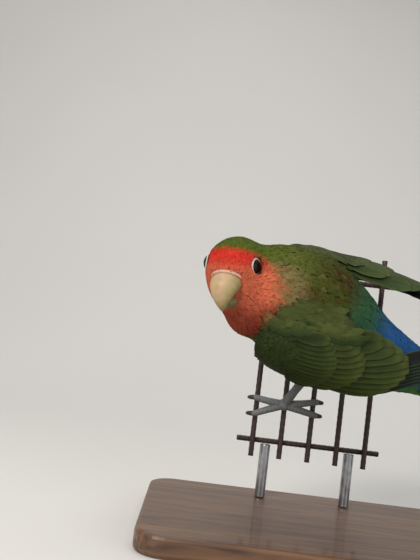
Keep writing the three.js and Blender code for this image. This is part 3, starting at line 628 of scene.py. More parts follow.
# Roots spread evenly over the skin, closer where the feathers are smaller
def scatterRoots():
    corners = skinVerts[skinFaces]
    middle = corners.mean(1)
    area = np.linalg.norm(np.cross(corners[:, 2] - corners[:, 0], corners[:, 3] - corners[:, 1]), axis=1) / 2
    gap = featherSize(middle, "gap")
    weight = area / gap ** 2
    chosen = rng.choice(len(middle), int(weight.sum() * 4.2), p=weight / weight.sum())
    s, t = rng.random((2, len(chosen), 1))
    quad = corners[chosen]
    p = mix(mix(quad[:, 0], quad[:, 1], s), mix(quad[:, 3], quad[:, 2], s), t)
    cornerUv = skinUv[chosen]
    uv = mix(mix(cornerUv[:, 0], cornerUv[:, 1], s), mix(cornerUv[:, 3], cornerUv[:, 2], s), t)
    tree = KDTree(len(p))
    for i, q in enumerate(p):
        tree.insert(q, i)
    tree.balance()
    radius = featherSize(p, "gap")
    alive = np.ones(len(p), bool)
    for i, q in enumerate(p):
        if alive[i]:
            for _, j, _ in tree.find_range(q, radius[i]):
                if j > i:
                    alive[j] = False
    return p[alive], uv[alive]


# A closed vane: upper and lower faces share their rim
def vaneTemplate(across, along):
    u = np.linspace(-1, 1, across)
    v = np.linspace(0, 1, along)
    grid = np.arange(across * along).reshape(along, across)
    quads = np.stack([grid[:-1, :-1], grid[:-1, 1:], grid[1:, 1:], grid[1:, :-1]], -1).reshape(-1, 4)
    inner = grid[1:-1, 1:-1].ravel()
    below = np.arange(across * along)
    below[inner] = across * along + np.arange(len(inner))
    faces = np.concatenate([quads, below[quads][:, ::-1]])
    uu, vv = np.meshgrid(u, v)
    u = np.concatenate([uu.ravel(), uu.ravel()[inner]])
    v = np.concatenate([vv.ravel(), vv.ravel()[inner]])
    under = np.concatenate([np.zeros(across * along, bool), np.ones(len(inner), bool)])
    return u, v, under, faces


def roundedOutline(v, root, wide):
    rise = root + (1 - root) * np.sin(np.clip(v / wide, 0, 1) * np.pi / 2)
    fall = np.sqrt(np.clip(1 - (np.clip((v - wide) / (1.04 - wide), 0, 1)) ** 2, 0, 1))
    return rise * fall


def rootBase(p):
    return np.maximum(plumage(p)[0], 0.004)


def layFeathers(p, uv, normal, lie, length, halfWidth, colour, across, extraLift=0.0):
    u, v, under, faces = vaneTemplate(across, coat["along"])
    side = np.cross(lie, normal)
    n, m = len(p), len(u)
    # Barbs end unevenly, so a tip is frayed instead of round, but a wisp stays whole
    ragged = 1 + coat["ragged"] * rng.standard_normal((n, across)) * (across > 3)
    column = np.clip(np.rint((u + 1) / 2 * (across - 1)).astype(int), 0, across - 1)
    late = step(v, 0.45, 1)[None]
    s = v[None] * mix(1.0, ragged[:, column], late) * length[:, None] - 0.12 * length[:, None]
    outline = roundedOutline(v, 0.35, 0.5) * 0.8 + 0.2
    width = outline[None] * halfWidth[:, None] * u[None]
    bow = rng.normal(0, 0.06, n)[:, None] * length[:, None] * (v ** 2)[None]
    verts = p[:, None] + lie[:, None] * s[..., None] + side[:, None] * (width + bow)[..., None]
    depth = coatDepth(p)[:, None]
    lift = coat["lift"] * rng.uniform(-0.6, 1.0, n)[:, None] * np.minimum(length / 3, 1)[:, None]
    # The tips tuck back in, so no dark gaps open between the rows
    level = mix(-depth - 0.15, lift, step(v, -0.15, 0.6)[None])
    level = level - coat["tuck"] * depth * step(v, 0.6, 1.08)[None]
    camber = 0.1 * depth * np.minimum(halfWidth / 0.6, 1)[:, None]
    level = level - camber * (u ** 2)[None] + extraLift - np.where(under, 0.05, 0)[None]
    flat, up = settle(plain, verts.reshape(-1, 3), level.ravel(), rounds=2, reach=1.2)
    # The colour goes half with the root's and half with the place, so borders blur
    tone = mix(np.repeat(colour, m, 0), plumage(flat)[0] * np.repeat(colour / rootBase(p), m, 0), 0.5)
    # Each feather is painted darker towards its root and a little lighter at its tip: painted shade where
    # the feathers over it cover the root
    tone = tone.reshape(n, m, 3) * mix(0.92, 1.04, step(v, 0.1, 0.8))[None, :, None]
    barb = (v[None] * length[:, None] + 0.55 * abs(u)[None] * halfWidth[:, None] * 2)
    patch = uv[:, None] + coat["patch"] * np.stack([u, v * 2 - 1], -1)[None]
    allFaces = (faces[None] + m * np.arange(n)[:, None, None]).reshape(-1, 4)
    up = up * np.where(np.tile(under, n), -1, 1)[:, None]
    return flat, allFaces, tone.reshape(-1, 3), barb.ravel(), patch.reshape(-1, 2), up


roots, rootUv = scatterRoots()
rootNormal = unit(slopeOf(plain, roots))
lies = featherLie(roots, rootNormal)
lengths = featherSize(roots, "length") * rng.uniform(0.85, 1.15, len(roots))
lean = np.radians(rng.normal(0, coat["lean"], len(roots)))[:, None]
lies = unit(lies * np.cos(lean) + np.cross(rootNormal, lies) * np.sin(lean))

# Feathers keep clear of the eyes, the bill and the shanks, and those right under a wing are left out
clear = {"eyeRoot": 0.22, "eyeTip": 0.12, "shortest": 0.4, "billFrom": 8.8, "billSide": 4.7, "billTop": 1.2,
         "billBottom": -9.0, "shank": 2.6, "wingSide": 9.5, "wingFrom": 3, "wingTo": 42, "wingDepth": -1.2,
         "wingGap": 1.5}
keep = np.ones(len(roots), bool)
for side in eyeCentres:
    for _ in range(5):
        tips = roots + lies * lengths[:, None] * 0.9
        lengths = np.where(eyeDistance(tips, side) < eyes["rim"] + clear["eyeTip"], lengths * 0.8, lengths)
    keep &= (eyeDistance(roots, side) > eyes["rim"] + clear["eyeRoot"]) & (lengths > clear["shortest"])
q = head.inside(roots)
underBill = (q[:, 0] > clear["billFrom"]) & (abs(q[:, 1]) < clear["billSide"])
keep &= ~(underBill & (q[:, 2] < clear["billTop"]) & (q[:, 2] > clear["billBottom"]))
for leg in legs.values():
    keep &= np.linalg.norm(roots - np.array(leg["ankle"]), axis=1) > clear["shank"]
for wing in wingTops:
    height, gap, place = wing.over(roots)
    along = (place[:, 0] > clear["wingFrom"]) & (place[:, 0] < clear["wingTo"])
    beneath = (height < clear["wingDepth"]) & (gap < clear["wingGap"])
    keep &= ~((abs(place[:, 1]) < clear["wingSide"]) & along & beneath)
roots, rootUv, rootNormal, lies, lengths = (a[keep] for a in (roots, rootUv, rootNormal, lies, lengths))

rootTint, rootMask = plumage(roots)
bodyPlace = body.inside(roots)
warm = 1 + 0.07 * rng.standard_normal((len(roots), 1))
drift = 1 + 0.035 * rng.standard_normal((len(roots), 3))
streak = rng.random(len(roots))
upper = (rootMask < 0.3) & (bodyPlace[:, 0] > -4)
dull = (streak < 0.12) & upper
pale = (streak > 0.97) & upper & (bodyPlace[:, 1] > 0)
rootTint = np.where(dull[:, None], mix(rootTint, tones["moult"], 0.35), rootTint)
rootTint = np.where(pale[:, None], mix(rootTint, tones["rim"], 0.3), rootTint)
rootTint = rootTint * warm * drift
zone = np.where(rootMask > 0.5, 0, np.where(bodyPlace[:, 0] > 13, 1, np.where(bodyPlace[:, 0] > -22, 2, 3)))
zones = [("face", "face_feathers", 2), ("neck", "neck_feathers", 2), ("body", "body_feathers", 3),
         ("rump", "rump_feathers", 1)]


def coatPiece(name, slot, pick, start, lie, length, halfWidth, tone, across, extraLift=0.0):
    parts = layFeathers(start, rootUv[pick], rootNormal[pick], lie, length, halfWidth, tone, across,
                        extraLift)
    own(meshPiece(name, parts[0], parts[1], materials["down"], *parts[2:]), slot)
    print("  ", name, len(pick), "feathers", len(parts[1]), "faces")


for k, (zoneName, slotName, split) in enumerate(zones):
    inZone = np.flatnonzero(zone == k)
    order = inZone[np.argsort(bodyPlace[inZone, 1])]
    for number, pick in enumerate(np.array_split(order, split)):
        coatPiece("coat_" + zoneName + "_" + str(number + 1), slotName, pick, roots[pick], lies[pick],
                  lengths[pick], featherSize(roots[pick], "halfWidth"), rootTint[pick], coat["across"])
    # Loose barbs lie over them and break up the rows
    pick = inZone[rng.random(len(inZone)) < (wisps["share"] if k < 3 else wisps["rumpShare"])]
    turn = np.radians(rng.normal(0, wisps["turn"], len(pick)))[:, None]
    lie = unit(lies[pick] * np.cos(turn) + np.cross(rootNormal[pick], lies[pick]) * np.sin(turn))
    long = lengths[pick] * wisps["long"]
    fine = rootTint[pick] * rng.uniform(0.9, 1.3, (len(pick), 1))
    start = roots[pick] + lies[pick] * (0.3 * lengths[pick])[:, None]
    coatPiece("wisps_" + zoneName, slotName, pick, start, lie, long,
              np.minimum(wisps["wide"], 0.05 + 0.012 * long), fine, 3, wisps["lift"])


def tailSheet(s, y, h):
    bend = 0.035
    s, y, h = np.broadcast_arrays(np.asarray(s, float), np.asarray(y, float), np.asarray(h, float))
    return body.at(-38 - s, np.sin(y * bend) / bend, 1 - 0.03 * s + h - (1 - np.cos(y * bend)) / bend)


# Large feathers on a sheet: vanes with a raised shaft, their own outline and their own tones
class Plumes:
    def __init__(self):
        self.verts, self.faces, self.tints, self.barbs, self.uvs, self.ups = [], [], [], [], [], []
        self.count = 0

    def add(self, sheet, f):
        across, along = f.get("across", 9), f.get("along", 14)
        u, v, under, faces = vaneTemplate(across, along)
        s = mix(f["rootS"], f["tipS"], v)
        s = s - f.get("point", 0.0) * (u ** 2) * step(v, 0.75, 1.0) * (f["tipS"] - f["rootS"]) * 0.08
        half = f["halfWidth"] * roundedOutline(v, 0.3, f.get("wide", 0.6))
        ragged = 1 + 0.03 * np.sin(v * 90 + f["seed"] * 5) * (abs(u) > 0.9)
        offset = u * half * ragged
        centre = f["centreAt"](s)
        y = centre + offset
        if "limit" in f:
            y = f["limit"](y)
        thick = f.get("thick", 0.3) * (1 - abs(u)) * (1 - 0.6 * v)
        shaft = 0.16 * np.exp(-(u / 0.12) ** 2) * (1 - v) ** 0.3 * np.where(under, 0, 1)
        h = f["heightAt"](s, y - centre) + shaft + thick / 2 - np.where(under, thick, 0)
        verts = sheet(s, y, h)
        # Shading follows the smooth face that the row makes together
        soft = f.get("softAt", lambda s, y: 0 * s)
        alongStep = sheet(s + 0.3, y, soft(s + 0.3, y)) - sheet(s - 0.3, y, soft(s - 0.3, y))
        acrossStep = sheet(s, y + 0.3, soft(s, y + 0.3)) - sheet(s, y - 0.3, soft(s, y - 0.3))
        up = unit(np.cross(alongStep, acrossStep))
        rise = sheet(s, y, h + 0.5) - verts
        up = up * np.sign((up * rise).sum(-1, keepdims=True)) * np.where(under, -1, 1)[:, None]
        self.ups.append(up)
        colour = f["tint"](u, v)
        colour = mix(colour, colour * 0.55, (np.exp(-(u / 0.09) ** 2) * f.get("shaftTone", 0.5))[:, None])
        self.verts.append(verts)
        self.faces.append(facingOut(verts, faces) + self.count)
        self.tints.append(colour * (1 + f.get("vary", 0)))
        self.barbs.append(v * (f["tipS"] - f["rootS"]) + 0.9 * abs(offset))
        u0, v0, du, dv = f["patch"]
        self.uvs.append(np.stack([u0 + du * (u + 1) / 2, v0 + dv * v], -1))
        self.count += len(u)

    def finish(self, name, slot, *nodes):
        lists = (self.verts, self.faces, self.tints, self.barbs, self.uvs, self.ups)
        data = [np.concatenate(rows) for rows in lists]
        piece = meshPiece(name, data[0], data[1], materials["vane"], *data[2:], soft=0.7)
        own(piece, slot, *nodes)
        print("  ", name, len(self.verts), "feathers", len(data[1]), "faces")


# Each feather's own strip of the bake square, in rows
class Patches:
    def __init__(self, columns, rows):
        self.columns, self.rows, self.used = columns, rows, 0

    def next(self):
        i, j = self.used % self.columns, self.used // self.columns
        self.used += 1
        w, h = 1 / self.columns, 1 / self.rows
        return (i + 0.06) * w, (j + 0.06) * h, 0.88 * w, 0.88 * h


# Tones of a feather with a pale fringe and, if wanted, a darker middle
def fringed(base, shadedSideTone, amount, width=0.2, dark=None):
    def tint(u, v):
        away = np.maximum(abs(u), (v - 0.15) / 0.85)
        rim = step(away, 1 - width * 1.6, 1 - width * 0.2)
        # Darker towards the root: painted shade where the row above covers it
        colour = np.broadcast_to(base, (len(u), 3)) * mix(0.75, 1.0, step(v, 0.1, 0.6))[:, None]
        if dark is not None:
            colour = mix(colour, dark, (step(-away, -(1 - width), -(0.6 - width)) * 0.6)[:, None])
        return mix(colour, shadedSideTone, (amount * rim)[:, None])
    return tint


# The rounded flesh under a row of large feathers
def lensPiece(name, sheet, shape, colour, slot, *nodes):
    rings, sides = 10, 40
    r = np.sqrt(np.linspace(0.002, 1, rings))
    angle = np.linspace(0, 2 * np.pi, sides, endpoint=False)
    rr, aa = np.meshgrid(r, angle, indexing="ij")
    s = (shape["fromS"] + shape["toS"]) / 2 + (shape["toS"] - shape["fromS"]) / 2 * rr * np.cos(aa)
    y = (shape["fromY"] + shape["toY"]) / 2 + (shape["toY"] - shape["fromY"]) / 2 * rr * np.sin(aa)
    swell = np.sqrt(np.clip(1 - rr ** 2, 0, 1))
    rim = mix(shape["low"], shape["high"], 0.35)
    upper = sheet(s, y, mix(rim, shape["high"], swell))
    lower = sheet(s, y, mix(rim, shape["low"], swell))[-2::-1]
    verts = np.concatenate([upper, lower]).reshape(-1, 3)
    faces = facingOut(verts, shellFaces(2 * rings - 1, sides))
    flat = np.stack([rr * np.cos(aa), rr * np.sin(aa)], -1) * 0.24
    uv = np.concatenate([flat + (0.25, 0.5), flat[-2::-1] + (0.75, 0.5)]).reshape(-1, 2)
    tint = np.broadcast_to(colour, (len(verts), 3))
    piece = meshPiece(name, verts, faces, materials["skin"], tint=tint, uv=uv)
    own(piece, slot, *nodes)


print("scene: wings")
# The two wings carry one plumage at two brightnesses, painted light and shade: the left wing's tones are
# mostly darker than the right's
litAndShadedWingTones = {
    "left": {"lesser": shade(37, 49, 20), "median": shade(45, 56, 23), "greater": shade(53, 62, 27),
             "secondary": shade(50, 61, 27), "edge": shade(82, 88, 47), "dark": shade(29, 38, 16)},
    "right": {"lesser": shade(52, 61, 28), "median": shade(52, 62, 28), "greater": shade(56, 67, 32),
              "secondary": shade(52, 65, 32), "edge": shade(76, 84, 50), "dark": shade(36, 45, 21)},
}
primaryTone = shade(26, 26, 23)
primaryEdge = shade(76, 81, 54)
primaryWeb = shade(25, 42, 38)
primaryCovert = shade(54, 62, 44)
shingleStep = 0.82
# Rows over the arm: how their roots and tips lie, bend and step, and the vanes themselves
wingTiers = {
    "secondary": {"count": 9, "rootY": (-9, 9), "tipY": (-9.5, 7), "reach": 45, "rootS": (19, 0.05),
                  "tipS": (51.3, 0.1, 0.7), "level": 5.0, "pitch": 2.4, "fringe": (0.4, 0.1), "seed": 0,
                  "vary": 0.07, "vane": {"halfWidth": 3.5, "wide": 0.7, "along": 18, "thick": 0.35}},
    "greater": {"count": 10, "rootY": (-9.5, 8.8), "tipY": (-10.5, 8.0), "reach": 28, "rootS": (15, 0),
                "tipS": (36, 0.07, 0), "level": 6.35, "pitch": 2.1, "fringe": (0.45, 0.14), "seed": 20,
                "vary": 0.09, "vane": {"halfWidth": 2.35, "wide": 0.65, "thick": 0.3}},
    "median": {"count": 13, "rootY": (-10.5, 8.4), "tipY": (-10.5, 8.4), "reach": 28, "rootS": (13, 0),
               "tipS": (27.5, 0.05, 0), "level": 7.25, "pitch": 2.2, "fringe": (0.4, 0.16), "seed": 40,
               "vary": 0.1, "vane": {"halfWidth": 1.95, "thick": 0.25, "along": 10, "across": 7}},
}
lesser = {"rows": 12, "firstS": 0.7, "lastS": 15.5, "long": 7.5, "short": 4.2, "halfWidth": 1.25,
          "pitch": 1.4}
primaries = {"count": 7, "coverts": 7, "halfWidth": 2.35, "spread": (8.5, 7), "opens": (34, 64)}
hand = {"fromS": 7.4, "toS": 28.6, "fromY": -14.2, "toY": -3.3, "low": 0.4, "high": 2.7}
scapulars = {
    "left": {"rows": 14, "across": 13, "firstS": 1.0, "lastS": 28.0, "fromY": 8.4, "toY": 18.0,
             "lead": 11.5},
    "right": {"rows": 14, "across": 14, "firstS": -4.5, "lastS": 15.0, "fromY": -3.0, "toY": 15.0,
              "lead": 99},
    "long": 8.0, "short": 3.6, "halfWidth": 0.95,
}


# Height over the wing's sheet of the higher of body and wing, smoothed where they meet
class Drape:
    def __init__(self, sheet):
        self.s, self.y = np.linspace(-6, 42, 25), np.linspace(-7, 23, 21)
        s, y = np.meshgrid(self.s, self.y, indexing="ij")
        skinLevel = np.full(s.shape, -14.0)
        for h in np.linspace(-14, 9, 47):
            inFlesh = plain(sheet(s, y, np.full(s.shape, h)).reshape(-1, 3)).reshape(s.shape) < 0
            skinLevel = np.where(inFlesh, h, skinLevel)
        covert = mix(covertMound(s, y, mound) + 0.5, 6.7, step(s, 16, 24)) - 1.1 * np.maximum(y - 10.5, 0)
        covert = covert - 1.4 * np.maximum(2.5 - s, 0)
        gap = np.clip(0.5 + (covert - skinLevel - 0.5) / 8, 0, 1)
        self.level = mix(skinLevel + 0.5, covert, gap) + 4 * gap * (1 - gap)

    def height(self, s, y):
        a = np.clip((s - self.s[0]) / (self.s[1] - self.s[0]), 0, len(self.s) - 1.001)
        b = np.clip((y - self.y[0]) / (self.y[1] - self.y[0]), 0, len(self.y) - 1.001)
        i, j = a.astype(int), b.astype(int)
        low = mix(self.level[i, j], self.level[i + 1, j], a - i)
        high = mix(self.level[i, j + 1], self.level[i + 1, j + 1], a - i)
        return mix(low, high, b - j)


def buildWing(side, baseSheet, flip):
    colours = litAndShadedWingTones[side]

    def sheet(s, y, h):
        return baseSheet(s, y * flip, h)

    def shingled(base, pitch):
        return lambda s, offset: base - shingleStep * offset / pitch

    # The arm's flesh takes the lesser coverts' tone darkened to 0.6, painted shade under the coverts
    lensPiece("wing_arm_" + side, sheet, arm, colours["lesser"] * 0.6, "wing_feathers")
    plumes = Plumes()
    patches = Patches(20, 20)
    for name, tier in wingTiers.items():
        for k in range(tier["count"]):
            place = k / (tier["count"] - 1)
            rootY, tipY = mix(*tier["rootY"], place), mix(*tier["tipY"], place)
            tipS, bow, trim = tier["tipS"]
            plumes.add(sheet, dict(
                tier["vane"], rootS=tier["rootS"][0] - tier["rootS"][1] * rootY ** 2,
                tipS=tipS - bow * tipY ** 2 - trim * max(tipY, 0),
                centreAt=lambda s: mix(rootY, tipY, (s - 12) / tier["reach"]),
                heightAt=shingled(tier["level"], tier["pitch"]),
                tint=fringed(colours[name], colours["edge"], *tier["fringe"], colours["dark"]),
                seed=k + tier["seed"], vary=rng.normal(0, tier["vary"]), patch=patches.next()))

    for row in range(lesser["rows"]):
        fore = row / (lesser["rows"] - 1)
        s0 = mix(lesser["lastS"], lesser["firstS"], fore)
        span = 12.0 * math.sqrt(max(1 - ((s0 + 1.2 - 12.5) / 12.6) ** 2, 0.05))
        number = max(int(span * 2 / lesser["pitch"]), 3)
        for k in range(number):
            y0 = mix(-span, span, (k + 0.5 * (row % 2)) / (number - 0.5)) - 0.5
            y0 = y0 + rng.normal(0, 0.2)
            length = mix(lesser["long"], lesser["short"], fore) * rng.uniform(0.9, 1.1)
            # One that would sink into the body is left out
            middle = s0 + 0.6 * length
            if plain(sheet(middle, y0, covertMound(middle, y0, mound)))[()] < 0.2:
                continue

            def over(s, offset):
                ground = covertMound(s, y0 + offset, mound)
                return ground - 0.45 + 0.6 * np.clip((s - s0) / length, 0, 1) - 0.15 * offset

            plumes.add(sheet, {
                "rootS": s0, "tipS": s0 + length, "halfWidth": lesser["halfWidth"], "thick": 0.2,
                "centreAt": lambda s: y0 + 0 * s, "heightAt": over, "along": 8, "across": 5,
                "tint": fringed(colours["lesser"], colours["edge"], 0.2, 0.2, colours["dark"]),
                "softAt": lambda s, y: covertMound(s, y, mound), "seed": k + 60,
                "vary": rng.normal(0, 0.11), "patch": patches.next(), "shaftTone": 0.15})
    plumes.finish("wing_" + side + "_coverts", "wing_feathers", "wing_" + side)

    # Scapulars hang from the back over the wing's upper edge and close the step between them
    drape = Drape(sheet)
    plumes = Plumes()
    patches = Patches(14, 14)
    plan = scapulars[side]
    for row in range(plan["rows"]):
        s0 = mix(plan["lastS"], plan["firstS"], row / (plan["rows"] - 1))
        for k in range(plan["across"]):
            y0 = mix(plan["fromY"], plan["toY"], (k + 0.5 * (row % 2)) / plan["across"]) + rng.normal(0, 0.3)
            a = s0 + rng.normal(0, 0.5)
            if y0 > plan["lead"] + 0.8 * max(a - 3, 0) or a > plan["lastS"] + 1 - 0.9 * (y0 - 8):
                continue
            if side == "right" and y0 < 7.5 and a > 5:
                continue
            length = rng.uniform(0.85, 1.15) * mix(scapulars["long"], scapulars["short"], row / plan["rows"])
            warm = 1 + 0.13 * rng.standard_normal()

            def over(s, offset):
                t = np.clip((s - a) / length, 0, 1)
                return drape.height(s, y0 + offset) - 0.4 + 0.55 * step(t, 0, 0.6) - 0.3 * step(t, 0.6, 1.1)

            def tint(u, v):
                s = a + v * length
                near = plumage(sheet(s, y0 + u, drape.height(s, y0 + u)))[0]
                mantle = mix(near, mix(tones["mantle"], tones["back"], 0.5), step(a, -1.5, 2)) * warm
                upwards = max(step(y0, 8.5, 11), step(-a, -6, -1) * (side == "right"))
                # Darker towards the root: painted shade where the next scapulars cover it
                return mix(colours["lesser"], mantle, upwards) * mix(0.9, 1.05, step(v, 0, 0.8))[:, None]

            plumes.add(sheet, {
                "rootS": a, "tipS": a + length, "thick": 0.12, "along": 8, "across": 5, "shaftTone": 0.0,
                "halfWidth": scapulars["halfWidth"] * mix(1, 0.6, row / plan["rows"]), "heightAt": over,
                "centreAt": lambda s: y0 + 0.05 * (s - s0), "softAt": drape.height, "tint": tint,
                "seed": row + k, "patch": patches.next()})
    plumes.finish("scapulars_" + side, "body_feathers")

    # The hand's flesh takes the primaries' tone darkened to 0.7, painted shade under the flight feathers
    lensPiece("wing_hand_" + side, sheet, hand, primaryTone * 0.7, "primary_feathers")
    plumes = Plumes()
    patches = Patches(4, 5)
    count = primaries["count"]
    for k in range(count):
        place = k / (count - 1)

        def spreadAt(s):
            return mix(*primaries["spread"], step(s, *primaries["opens"]))

        def centreAt(s):
            return mix(-12.5, -2.5, step(s, *primaries["opens"])) + spreadAt(s) * place

        def heightAt(s, offset):
            return 1.6 - shingleStep * offset * (count - 1) / spreadAt(s)

        def tint(u, v):
            colour = np.broadcast_to(primaryTone, (len(u), 3))
            colour = mix(colour, primaryWeb, (step(-u, 0.15, 0.5) * step(-v, -0.85, -0.5) * 0.7)[:, None])
            rim = step(np.maximum(abs(u), (v - 0.2) / 0.8), 0.8, 0.97)
            return mix(colour, primaryEdge, (0.55 * rim)[:, None])

        plumes.add(sheet, {
            "rootS": 20, "tipS": wingLength - 1.2 * (k - 0.8) ** 2, "halfWidth": primaries["halfWidth"],
            "centreAt": centreAt, "heightAt": heightAt, "tint": tint, "seed": k,
            "vary": rng.normal(0, 0.06), "patch": patches.next(), "along": 30, "thick": 0.4, "wide": 0.75,
            "point": 1.0})
    for k in range(primaries["coverts"]):
        y0 = mix(-13.2, -5.2, k / (primaries["coverts"] - 1))
        plumes.add(sheet, {
            "rootS": 8, "tipS": 37 - 0.15 * (k - 2) ** 2, "halfWidth": 1.7, "along": 12, "thick": 0.25,
            "centreAt": lambda s: y0 + 0 * s, "heightAt": shingled(2.5, 2.0), "seed": k + 9,
            "tint": fringed(primaryCovert, primaryEdge, 0.4, 0.14), "vary": rng.normal(0, 0.08),
            "patch": patches.next()})
    plumes.finish("wing_" + side + "_flight", "primary_feathers", "wing_" + side + "_primaries")


buildWing("left", leftSheet, 1)
buildWing("right", rightSheet, -1)

print("scene: tail")
tailPlan = {"pairs": 5, "length": 50, "halfWidth": 4.2, "spread": (1.1, 2.3), "covertSpread": 2.0}
tailTones = {"green": shade(66, 92, 52), "blue": shade(46, 82, 142), "rufous": shade(178, 76, 38),
             "black": shade(20, 18, 20), "tip": shade(52, 102, 96), "under": shade(74, 108, 74),
             "upper": shade(30, 78, 140)}
tailRoot = {"fromS": 3.6, "toS": 16.6, "fromY": -4.8, "toY": 4.8, "low": -1.7, "high": 3.0}


# The middle pair is green with a blue end, the others carry the orange, the black bar and the pale tip
def tailTint(k):
    def tint(u, v):
        colour = np.broadcast_to(tailTones["green"], (len(u), 3))
        if k > 0:
            warm = step(v, 0.34, 0.44) * step(-v, -0.72, -0.64) * (0.55 + 0.45 * (u > -0.2))
            colour = mix(colour, tailTones["rufous"], warm[:, None])
            bar = step(v, 0.68, 0.73) * step(-v, -0.86, -0.81)
            colour = mix(colour, tailTones["black"], bar[:, None])
            colour = mix(colour, tailTones["tip"], step(v, 0.83, 0.88)[:, None])
        else:
            colour = mix(colour, tailTones["blue"], step(v, 0.55, 0.95)[:, None])
        return colour
    return tint


def tailSpread(s):
    return mix(*tailPlan["spread"], np.clip((s - 6) / (tailPlan["length"] - 4), 0, 1))


plumes = Plumes()
patches = Patches(4, 4)
for k in range(1, tailPlan["pairs"] + 1):
    for sign in (1, -1):
        plumes.add(lambda s, y, h: tailSheet(s, y * sign, h), {
            "rootS": 6, "tipS": 2 + tailPlan["length"] - 1.5 * k, "halfWidth": tailPlan["halfWidth"],
            "centreAt": lambda s: -tailSpread(s) * (k - 0.2), "limit": lambda y: np.minimum(y, -0.3),
            "heightAt": lambda s, offset: -shingleStep * offset / np.maximum(tailSpread(s), 1.2),
            "tint": tailTint(k), "seed": k, "vary": rng.normal(0, 0.05), "patch": patches.next(),
            "wide": 0.78, "across": 11, "along": 22})
for centre, level, extra in ((0.75, 1.9, 2.4), (-0.75, 2.75, 3.0)):
    plumes.add(tailSheet, {
        "rootS": 6, "tipS": tailPlan["length"] + extra, "halfWidth": 4.3, "across": 11, "along": 22,
        "centreAt": lambda s: centre + 0 * s, "heightAt": lambda s, offset: level + 0 * s,
        "tint": tailTint(0), "seed": 9, "patch": patches.next(), "wide": 0.78})
plumes.finish("tail_vanes", "tail_feathers", "tail")
# The tail's root takes the tail green darkened to 0.7, painted shade under the tail vanes
lensPiece("tail_root", tailSheet, tailRoot, tailTones["green"] * 0.7, "tail_feathers")

plumes = Plumes()
patches = Patches(6, 7)
for face, level, tone, tipReach in ((1, 4.7, tailTones["upper"], 26), (-1, -3.5, tailTones["under"], 24)):
    for row in range(3):
        for k in range(-3, 4):
            if row == 2 and abs(k) > 2:
                continue

            def heightAt(s, offset):
                shingle = 0.5 * row - 0.22 * abs(k) - 0.02 * s - 0.05 * offset ** 2
                return level + face * shingle

            plumes.add(tailSheet, {
                "rootS": -4 - 1.5 * row, "tipS": tipReach - 5.5 * row - 0.9 * abs(k) - 1, "halfWidth": 2.9,
                "centreAt": lambda s: k * mix(1.5, tailPlan["covertSpread"], np.clip(s / 20, 0, 1)),
                "heightAt": heightAt, "tint": fringed(tone, tone * 1.5, 0.3, 0.2), "seed": k,
                "vary": rng.normal(0, 0.08), "patch": patches.next(), "thick": 0.25, "along": 12,
                "shaftTone": 0.2})
plumes.finish("tail_coverts", "rump_feathers")


# Tubes with a radius at each place along a smooth curve
def tubeArrays(points, radii, sides, rings, ripple=None):
    line = smoothCurve(points, rings)
    tangents = unit(np.gradient(line, axis=0))
    normal = unit(np.cross(tangents[0], [0.3, 0.2, 0.93]))
    normals = []
    for t in tangents:
        normal = unit(normal - t * (normal @ t))
        normals.append(normal)
    normals = np.array(normals)
    side = np.cross(tangents, normals)
    place = np.linspace(0, 1, rings)
    radius = np.interp(place, np.linspace(0, 1, len(radii)), radii)
    angle = np.linspace(0, 2 * np.pi, sides, endpoint=False)
    pp, aa = np.meshgrid(place, angle, indexing="ij")
    rr = np.repeat(radius[:, None], sides, 1)
    direction = normals[:, None] * np.cos(aa)[..., None] + side[:, None] * np.sin(aa)[..., None]
    if ripple is not None:
        rr = rr * ripple(pp, aa, direction)
    verts = (line[:, None] + direction * rr[..., None]).reshape(-1, 3)
    uv = np.stack([aa / (2 * np.pi), pp], -1).reshape(-1, 2)
    return verts, shellFaces(rings, sides), uv, pp.ravel()


# Parts that are joined into one piece
class Bundle:
    def __init__(self):
        self.parts = []

    def add(self, verts, faces, uv, tint, cell=(0, 0, 1, 1)):
        uv = np.array(cell[:2]) + uv * np.array(cell[2:]) * 0.96
        self.parts.append((verts, facingOut(verts, faces), np.broadcast_to(tint, (len(verts), 3)), uv))

    def finish(self, name, material, slot, *nodes):
        starts = np.cumsum([0] + [len(part[0]) for part in self.parts])
        verts, tints, uvs = (np.concatenate([part[k] for part in self.parts]) for k in (0, 2, 3))
        faces = np.concatenate([part[1] + start for part, start in zip(self.parts, starts)])
        return own(meshPiece(name, verts, faces, material, tint=tints, uv=uvs), slot, *nodes)


def onePart(name, verts, faces, uv, tint, material, slot, *nodes):
    bundle = Bundle()
    bundle.add(verts, faces, uv, tint)
    return bundle.finish(name, material, slot, *nodes)


# Bill, cere, eyes and lids
print("scene: head pieces")
billShape = {"sides": 48, "rings": 48, "upperTone": shade(170, 143, 108), "shadedSideTone": shade(140, 130, 80),
             "tipTone": shade(122, 112, 66), "baseTone": shade(178, 150, 124)}
# Forward, up, half width, half height and tilt of the rings
upperStations = [[6.8, -2.4, 5.0, 3.9, 0], [9.8, -2.4, 5.15, 4.0, 12], [12.3, -3.4, 4.75, 3.7, 38],
                 [13.6, -5.4, 3.9, 3.1, 62], [13.8, -7.7, 2.75, 2.2, 82], [13.2, -9.9, 1.4, 1.2, 100],
                 [12.5, -11.3, 0.4, 0.4, 108], [12.35, -11.6, 0.08, 0.08, 110]]
lowerStations = [[5.0, -8.4, 3.8, 2.5, 0], [8.0, -8.5, 3.9, 2.5, 0], [10.4, -8.5, 3.3, 2.1, -10],
                 [11.9, -8.2, 2.1, 1.2, -20], [12.6, -8.0, 0.6, 0.3, -24]]


